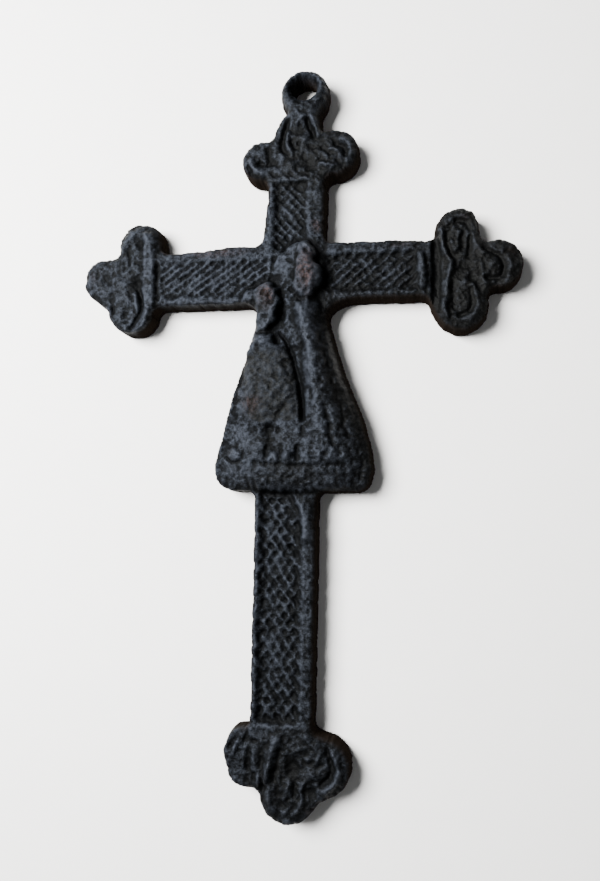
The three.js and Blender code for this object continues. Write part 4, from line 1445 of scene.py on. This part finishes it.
    def shoulder(self, x: np.ndarray, y: np.ndarray, distance: np.ndarray) -> np.ndarray:
        """Say how far the rounded edge drops below the relief.

        Args:
            x: Places across, in mm.
            y: Places along, in mm.
            distance: Distance to the edge, in mm.

        Returns:
            The drop at each point, in mm.
        """
        eye, lobes = self.zones(x, y)
        width = self.edge_round + (self.lobe_round - self.edge_round) * lobes
        width = width * (1 - self.crisp_rim * self.lower_left(x, y))
        drop = self.round_drop * width
        width = width + (self.eye_round - width) * eye
        drop = drop + (self.eye_rise - drop) * eye
        ratio = np.clip(1 - distance / width, 0, 1)
        return drop * (1 - np.sqrt(np.clip(1 - ratio**2, 0, 1)))

    def layers(self, used: np.ndarray, distance: np.ndarray) -> dict[str, np.ndarray]:
        """Gather the finish's layers at the used points.

        Args:
            used: Grid indices of the used points.
            distance: Their distance to the edge, in mm.

        Returns:
            Each layer's values by name.
        """
        relief = self.relief
        near = relief.z - relief.blur(relief.z, self.near)
        far = relief.z - relief.blur(relief.z, self.far)
        # Recesses, darkened in the finish: partly their unworn black, partly painted shade.
        hollow = self.share(-near, self.hollow_near) + self.share(-far, self.hollow_far)
        proud = self.share(near, self.proud_near) + self.share(far, self.proud_far)
        named = {"hollow": hollow, "proud": proud,
                 "rust": relief.rust, "dust": relief.dust, "soot": relief.soot}
        layers = {name: np.clip(values.ravel()[used], 0, 1) for name, values in named.items()}
        # A dark rim of painted shade along the top's edge, lighter where the rim faces the light.
        brightening = self.lit_rim * self.lower_left(relief.x.ravel()[used], relief.y.ravel()[used])
        layers["side"] = self.rim_shade * (1 - brightening) * smooth_step(self.rim_wide, 0, distance)
        return layers

    def share(self, height: np.ndarray, scale: Pair) -> np.ndarray:
        """Give a height as a share of the scale's first number, times its second."""
        full, weight = scale
        return np.clip(height / full, 0, 1) * weight

    def facing(self, x: np.ndarray, y: np.ndarray) -> tuple[np.ndarray, ...]:
        """Say which way a loop's points face, and where they are.

        Args:
            x: The loop's places across.
            y: The loop's places along.

        Returns:
            The outward way across and along, the eyelet's share, and how far the rim faces the light and
            keeps less painted shade.
        """
        for _ in range(2):
            x, y = self.relax(x), self.relax(y)
        run_x, run_y = (np.roll(values, -2) - np.roll(values, 2) for values in (x, y))
        size = np.maximum(np.hypot(run_x, run_y), TINY)
        out_x, out_y = run_y / size, -run_x / size
        eye, _ = self.zones(x, y)
        # Rims on the left limb's lower half that face the light keep less painted shade.
        brightening = self.lit_rim * self.lower_left(x, y) * smooth_step(0.5, 0, out_x)
        return out_x, out_y, eye, brightening

    def sides(self, shell: Shell, loops: list[np.ndarray]) -> list[np.ndarray]:
        """Hang the drafted sides from the edge down to the back.

        Args:
            shell: The mesh so far, which grows.
            loops: The edge's loops.

        Returns:
            The bottom loops.
        """
        bottoms = []
        rough = np.random.default_rng(5)
        for above in loops:
            x, y, z = shell.verts[above].T
            out_x, out_y, eye, brightening = self.facing(x, y)
            lumps = self.relax(self.relax(rough.normal(0, self.side_lumps, len(x))))
            for step in self.side_steps:
                low = 1 - step
                under = self.eye_inset * (1 - math.sqrt(1 - low**2))
                spread = self.outline.draft * math.sqrt(low) + lumps * math.sin(math.pi * step)
                push = spread * (1 - eye) - under * eye
                if step == 0:
                    push = push - self.toe * (1 - eye)
                ring = len(shell.verts) + np.arange(len(x))
                ahead, below = np.roll(above, -1), np.roll(ring, -1)
                tiles = np.concatenate([np.stack([above, ring, ahead], 1), np.stack([ahead, ring, below], 1)])
                # The walls get painted shade through their side and hollow layers, darker towards the back;
                # walls facing the light keep less of it.
                lit_wall = 0.7 * brightening * (1 - low)
                finish = {"rust": np.clip(0.2 + 0.3 * low + 6 * lumps, 0, 1) * (1 - brightening),
                          "hollow": 0.75 + 0.25 * low - lit_wall, "side": min(1.0, 0.7 + low) - lit_wall}
                shell.grow(np.stack([x + out_x * push, y + out_y * push, z * step], 1), tiles, finish)
                above = ring
            bottoms.append(above)
        return bottoms

    def relax(self, values: np.ndarray) -> np.ndarray:
        """Even out values round a loop."""
        return 0.5 * values + 0.25 * (np.roll(values, 1) + np.roll(values, -1))

    def back(self, shell: Shell, bottoms: list[np.ndarray]) -> None:
        """Close the back with a faintly uneven flat.

        Args:
            shell: The mesh so far, which grows.
            bottoms: The bottom loops.
        """
        relief, rim = self.relief, np.concatenate(bottoms)
        flat = shell.verts[rim, :2]
        parts = np.split(np.arange(len(rim)), np.cumsum([len(loop) for loop in bottoms])[:-1])
        edges = np.concatenate([np.stack([ids, np.roll(ids, -1)], 1) for ids in parts])
        points = [Vector(p) for p in np.concatenate([flat, self.back_points(flat)]).tolist()]
        out_points, _, out_faces, origins, _, _ = delaunay_2d_cdt(points, edges.tolist(), [], 0, 1e-7)
        place = np.array([p[:] for p in out_points])
        tiles = np.array([f[:] for f in out_faces])
        tiles = tiles[inside_loops(flat[edges[:, 0]], flat[edges[:, 1]], *place[tiles].mean(1).T)]
        a, b, c = (place[tiles[:, k]] for k in range(3))
        area = (b[:, 0] - a[:, 0]) * (c[:, 1] - a[:, 1]) - (b[:, 1] - a[:, 1]) * (c[:, 0] - a[:, 0])
        tiles = np.where((area > 0)[:, None], tiles[:, ::-1], tiles)
        source = np.array([origin[0] if origin else len(rim) for origin in origins])
        new = source >= len(rim)
        ids = np.where(new, len(shell.verts) + np.cumsum(new) - 1, rim[np.minimum(source, len(rim) - 1)])
        rows = ((place[new, 1] - relief.low) / relief.pitch).astype(int)
        columns = ((place[new, 0] - relief.left) / relief.pitch).astype(int)
        lift = self.back_lift * (1 + relief.noise(2.6, 99))[rows, columns]
        finish = {"hollow": 0.2, "rust": 0.55, "dust": 0.25}
        shell.grow(np.column_stack([place[new], lift]), ids[tiles], finish)

    def back_points(self, rim: np.ndarray) -> np.ndarray:
        """Spread points over the back, clear of its rim.

        Args:
            rim: The rim's points.

        Returns:
            The points, one a row.
        """
        relief, step = self.relief, self.back_step
        deep = relief.blur(np.clip(self.outline.depth, -1, 1), 0.6)[::step, ::step] > self.back_margin
        inner = np.stack([relief.x[::step, ::step][deep], relief.y[::step, ::step][deep]], 1)
        return inner[nearest_distance(rim, inner) > self.back_clear]

    def make_object(self, shell: Shell) -> bpy.types.Object:
        """Turn the mesh into an object with its layers as attributes.

        Args:
            shell: The finished mesh.

        Returns:
            The new object.
        """
        places = shell.verts * MM
        places[:, :2] += np.array(CROSSING) * MM
        mesh = bpy.data.meshes.new(PIECE)
        mesh.from_pydata(places.tolist(), [], shell.faces.tolist())
        for name, values in shell.layers.items():
            layer = mesh.attributes.new(name, "FLOAT", "POINT")
            layer.data.foreach_set("value", values.astype(np.float32))
        mesh.polygons.foreach_set("use_smooth", [True] * len(mesh.polygons))
        mesh.set_sharp_from_angle(angle=math.radians(self.sharp_angle))
        mesh.validate()
        mesh.update()
        piece = bpy.data.objects.new(PIECE, mesh)
        bpy.context.scene.collection.objects.link(piece)
        return piece


@dataclass(frozen=True)
class NodeBoard:
    """A material's node tree with short ways to add and join nodes."""

    material: bpy.types.Material

    @staticmethod
    def fresh(name: str) -> "NodeBoard":
        """Make a new material with an empty node tree.

        Args:
            name: The material's name.

        Returns:
            A board for its nodes.
        """
        material = bpy.data.materials.new(name)
        material.use_nodes = True
        material.node_tree.nodes.clear()
        return NodeBoard(material)

    def add(self, kind: str, **settings: object) -> bpy.types.Node:
        """Add a node and set its own settings.

        Args:
            kind: The node's type name.
            **settings: Values of the node's settings.

        Returns:
            The new node.
        """
        node = self.material.node_tree.nodes.new(kind)
        for name, value in settings.items():
            setattr(node, name, value)
        return node

    def join(self, source: Socket, target: Socket) -> None:
        """Join an output to an input."""
        self.material.node_tree.links.new(source, target)

    def show(self, shader: bpy.types.Node) -> None:
        """Make a shader the material's surface."""
        self.join(shader.outputs["BSDF"], self.add("ShaderNodeOutputMaterial").inputs["Surface"])

    def layer(self, name: str) -> Socket:
        """Read one of the mesh's layers."""
        return self.add("ShaderNodeAttribute", attribute_name=name).outputs["Fac"]

    def noise(self, scale: float, detail: float, roughness: float) -> Socket:
        """Add noise over the object's own coordinates.

        Args:
            scale: Lumps to the metre.
            detail: How many finer layers.
            roughness: How strong the finer layers are.

        Returns:
            The noise's value.
        """
        node = self.add("ShaderNodeTexNoise")
        self.join(self.add("ShaderNodeTexCoord").outputs["Object"], node.inputs["Vector"])
        for name, number in (("Scale", scale), ("Detail", detail), ("Roughness", roughness)):
            node.inputs[name].default_value = number
        return node.outputs["Fac"]

    def remap(self, value: Socket, low: float, high: float, to_low: float, to_high: float) -> Socket:
        """Stretch a value smoothly from one range to another.

        Args:
            value: The value.
            low: Where the first range starts.
            high: Where it ends.
            to_low: Where the second range starts.
            to_high: Where it ends.

        Returns:
            The stretched value.
        """
        node = self.add("ShaderNodeMapRange", interpolation_type="SMOOTHSTEP")
        self.join(value, node.inputs["Value"])
        for name, number in (("From Min", low), ("From Max", high), ("To Min", to_low), ("To Max", to_high)):
            node.inputs[name].default_value = number
        return node.outputs["Result"]

    def math(self, operation: str, first: Socket, second: Socket | float) -> Socket:
        """Combine two values.

        Args:
            operation: The operation's type name.
            first: The first value.
            second: The second value, or a fixed number.

        Returns:
            The result.
        """
        node = self.add("ShaderNodeMath", operation=operation)
        self.join(first, node.inputs[0])
        if isinstance(second, (int, float)):
            node.inputs[1].default_value = second
        else:
            self.join(second, node.inputs[1])
        return node.outputs[0]

    def gather(self, value: Socket, shares: Sequence[tuple[Socket, float]]) -> Socket:
        """Add shares of other values to a value.

        Args:
            value: The value to start from.
            shares: Each other value and its share.

        Returns:
            The sum.
        """
        for other, share in shares:
            value = self.math("ADD", value, self.math("MULTIPLY", other, share))
        return value

    def mix(self, share: Socket, first: Socket | Triple, second: Socket | Triple) -> Socket:
        """Mix two colours.

        Args:
            share: The second colour's share.
            first: The first colour.
            second: The second colour.

        Returns:
            The mixed colour.
        """
        node = self.add("ShaderNodeMix", data_type="RGBA")
        self.join(share, node.inputs["Factor"])
        for socket, colour in ((node.inputs[6], first), (node.inputs[7], second)):
            if isinstance(colour, tuple):
                socket.default_value = (*colour, 1.0)
            else:
                self.join(colour, socket)
        return node.outputs[2]


@dataclass(frozen=True)
class WornIron:
    """Near-black handled cast iron: blue-grey where rubbed, rust-brown in patches, dusty in the folds, with
    painted shade.

    Noises are (lumps to the metre, finer layers, their strength).
    """

    black: Triple = (0.0032, 0.0034, 0.0037)
    steel: Triple = (0.0235, 0.0266, 0.0335)
    brown: Triple = (0.006, 0.0036, 0.0026)
    red: Triple = (0.034, 0.0228, 0.0222)
    # The colour of the painted shade patches.
    sooty: Triple = (0.0062, 0.0061, 0.0056)
    dark_grey: Triple = (0.004, 0.0043, 0.0042)
    grey: Triple = (0.0175, 0.0174, 0.0164)
    # The walls' painted shade, a dark brown.
    wall_shade: Triple = (0.0075, 0.0055, 0.0042)
    mottle: Triple = (900, 4, 0.6)
    fine: Triple = (3600, 4, 0.65)
    specks: Triple = (6200, 2, 0.5)
    dust_spots: Triple = (2600, 4, 0.7)
    grain: Triple = (4200, 5, 0.7)
    mottle_rub: Stretch = (0.33, 0.7, 0.3, 0.72)
    speck_rub: Stretch = (0.3, 0.7, -0.2, 0.2)
    proud_rub: float = 0.45
    # Recesses darken the colour, partly as unworn black and partly as painted shade; the painted shade
    # patches darken it too.
    hollow_wear_and_shade: float = -0.9
    soot_rub: float = -0.36
    steel_share: Stretch = (0.06, 1.12, 0, 1)
    soot_share: float = 0.5
    rust_break: Stretch = (0.35, 0.6, 0.25, 1.0)
    rust_share: Stretch = (0.05, 0.85, 0, 0.9)
    red_share: Stretch = (0.2, 0.9, 0, 1)
    dust_break: Stretch = (0.3, 0.7, 0.5, 1.0)
    dust_share: Stretch = (0.05, 0.9, 0, 0.72)
    grey_share: Stretch = (0.36, 0.64, 0, 1)
    wall_shade_share: float = 0.95
    mottle_dull: Stretch = (0.3, 0.7, 0.55, 0.67)
    rust_dull: float = 0.12
    dust_dull: float = 0.2
    soot_dull: float = -0.1
    wall_dull: float = 0.4
    dullest: float = 0.95
    metallic: float = 0.75
    grain_strength: float = 0.9
    grain_depth: float = 0.0001

    def make(self) -> bpy.types.Material:
        """Make the material.

        Returns:
            The finished node material.
        """
        board = NodeBoard.fresh("worn_cast_iron")
        parts = {name: board.layer(name) for name in ("hollow", "proud", "rust", "dust", "soot", "side")}
        fine = board.noise(*self.fine)
        parts["mottle"] = board.noise(*self.mottle)
        parts["rusty"] = board.math("MULTIPLY", parts["rust"], board.remap(fine, *self.rust_break))
        parts["dusty"] = board.math("MULTIPLY", parts["dust"], board.remap(fine, *self.dust_break))
        shader = board.add("ShaderNodeBsdfPrincipled")
        board.join(self.colour(board, parts), shader.inputs["Base Color"])
        board.join(self.dullness(board, parts), shader.inputs["Roughness"])
        # The walls are made non-metal, which keeps their painted shade dark.
        board.join(board.remap(parts["side"], 0, 1, self.metallic, 0), shader.inputs["Metallic"])
        shader.inputs["Specular IOR Level"].default_value = 0.0
        bump = board.add("ShaderNodeBump")
        bump.inputs["Strength"].default_value = self.grain_strength
        bump.inputs["Distance"].default_value = self.grain_depth
        board.join(board.noise(*self.grain), bump.inputs["Height"])
        board.join(bump.outputs["Normal"], shader.inputs["Normal"])
        board.show(shader)
        return board.material

    def colour(self, board: NodeBoard, parts: dict[str, Socket]) -> Socket:
        """Lay the colours over one another.

        Args:
            board: The material's nodes.
            parts: The mesh's layers and what is made of them.

        Returns:
            The colour.
        """
        # The brightening share: random rubbing and worn high spots lighten it; recesses, the walls' painted
        # shade and the painted shade patches darken it.
        brightening = board.remap(parts["mottle"], *self.mottle_rub)
        brightening = board.gather(brightening, ((parts["proud"], self.proud_rub), (parts["hollow"], self.hollow_wear_and_shade)))
        brightening = board.math("ADD", brightening, board.remap(board.noise(*self.specks), *self.speck_rub))
        brightening = board.gather(brightening, ((parts["soot"], self.soot_rub),))
        rust = board.mix(board.remap(brightening, *self.red_share), self.brown, self.red)
        spots = board.remap(board.noise(*self.dust_spots), *self.grey_share)
        dust = board.mix(spots, self.dark_grey, self.grey)
        colour = board.mix(board.remap(brightening, *self.steel_share), self.black, self.steel)
        # Coats laid on: painted shade over the far parts, rust, dust, and painted shade on the walls.
        for share, coat in (
            (board.math("MULTIPLY", parts["soot"], self.soot_share), self.sooty),
            (board.remap(parts["rusty"], *self.rust_share), rust),
            (board.remap(parts["dusty"], *self.dust_share), dust),
            (board.math("MULTIPLY", parts["side"], self.wall_shade_share), self.wall_shade),
        ):
            colour = board.mix(share, colour, coat)
        return colour

    def dullness(self, board: NodeBoard, parts: dict[str, Socket]) -> Socket:
        """Say how dull the surface is.

        Args:
            board: The material's nodes.
            parts: The mesh's layers and what is made of them.

        Returns:
            The roughness.
        """
        dull = board.gather(board.remap(parts["mottle"], *self.mottle_dull), (
            (parts["rusty"], self.rust_dull), (parts["dusty"], self.dust_dull),
            (parts["soot"], self.soot_dull), (parts["side"], self.wall_dull)))
        return board.math("MINIMUM", dull, self.dullest)


@dataclass(frozen=True)
class PaleFloor:
    """A plain pale floor."""

    colour: Triple = (0.78, 0.77, 0.75)
    paler: float = 0.96
    clouds: Triple = (220, 2, 0.55)
    roughness: float = 0.85
    size: float = 3.0

    def make(self) -> bpy.types.Object:
        """Make the floor.

        Returns:
            The floor's object.
        """
        half = self.size / 2
        corners = [(-half, -half, 0), (half, -half, 0), (half, half, 0), (-half, half, 0)]
        mesh = bpy.data.meshes.new("floor")
        mesh.from_pydata(corners, [], [(0, 1, 2, 3)])
        floor = bpy.data.objects.new("floor", mesh)
        bpy.context.scene.collection.objects.link(floor)
        board = NodeBoard.fresh("pale_floor")
        shader = board.add("ShaderNodeBsdfPrincipled")
        other = tuple(self.paler * part for part in self.colour)
        board.join(board.mix(board.noise(*self.clouds), other, self.colour), shader.inputs["Base Color"])
        shader.inputs["Roughness"].default_value = self.roughness
        board.show(shader)
        mesh.materials.append(board.material)
        return floor


@dataclass(frozen=True)
class Lamp:
    """A square soft light that faces the middle of the cross, in metres and watts."""

    name: str
    place: Triple
    size: float
    power: float

    def hang(self) -> bpy.types.Object:
        """Hang the light.

        Returns:
            The light.
        """
        data = bpy.data.lights.new(self.name, "AREA")
        data.size = self.size
        data.energy = self.power
        lamp = bpy.data.objects.new(self.name, data)
        lamp.location = self.place
        lamp.rotation_euler = Vector(self.place).to_track_quat("Z", "Y").to_euler()
        bpy.context.scene.collection.objects.link(lamp)
        return lamp


@dataclass(frozen=True)
class Studio:
    """The camera close above the cross, a soft light from the upper left, a weak fill and a faint sky."""

    place: Triple = (17.01, -7.95, 87.54)
    pan: float = 10.4
    tilt: float = 4.7
    roll: float = -0.26
    lens: float = 29.46
    sensor: float = 36
    clip: float = 0.005
    lamps: tuple[Lamp, ...] = (
        Lamp("key", (-0.105, 0.045, 0.15), 0.1, 2.7),
        Lamp("fill", (0.3, -0.2, 0.5), 0.5, 0.12),
    )
    sky: Triple = (0.95, 0.97, 1.0)
    sky_strength: float = 0.14

    def camera(self) -> bpy.types.Object:
        """Set the camera at the photograph's viewing angle.

        Returns:
            The camera.
        """
        pan, tilt, roll = (math.radians(v) for v in (self.pan, self.tilt, self.roll))
        across = Vector((math.cos(pan), 0, math.sin(pan)))
        lean = -math.sin(tilt)
        skew = -lean * math.tan(pan)
        up = Vector((skew, math.sqrt(1 - skew**2 - lean**2), lean))
        rolled_across = math.cos(roll) * across + math.sin(roll) * up
        rolled_up = -math.sin(roll) * across + math.cos(roll) * up
        turn = Matrix((rolled_across, rolled_up, across.cross(up)))
        data = bpy.data.cameras.new("camera")
        data.sensor_width = self.sensor
        data.lens = self.lens
        data.clip_start = self.clip
        camera = bpy.data.objects.new("camera", data)
        camera.matrix_world = Matrix.Translation(Vector(self.place) * MM) @ turn.to_4x4()
        bpy.context.scene.collection.objects.link(camera)
        bpy.context.scene.camera = camera
        return camera

    def lights(self) -> None:
        """Hang the lights and set the faint sky."""
        for lamp in self.lamps:
            lamp.hang()
        world = bpy.data.worlds.new("surroundings")
        world.use_nodes = True
        background = world.node_tree.nodes["Background"]
        background.inputs["Color"].default_value = (*self.sky, 1)
        background.inputs["Strength"].default_value = self.sky_strength
        bpy.context.scene.world = world


def main() -> None:
    """Build the cross, its finish and the studio, and report each piece."""
    logging.basicConfig(level=logging.INFO, format="%(message)s")
    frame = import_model()
    studio = Studio()
    studio.camera()
    studio.lights()
    PaleFloor().make()
    relief = CrossBody().sculpt()
    outline = Outline(relief)
    outline.read(frame["nodes"][NODE])
    piece = Casting(relief, outline).build()
    piece.data.materials.append(WornIron().make())
    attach(piece, "root")
    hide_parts(NODE)
    log.info("%s: %d triangles", piece.name, len(piece.data.polygons))


if __name__ == "__main__":
    main()
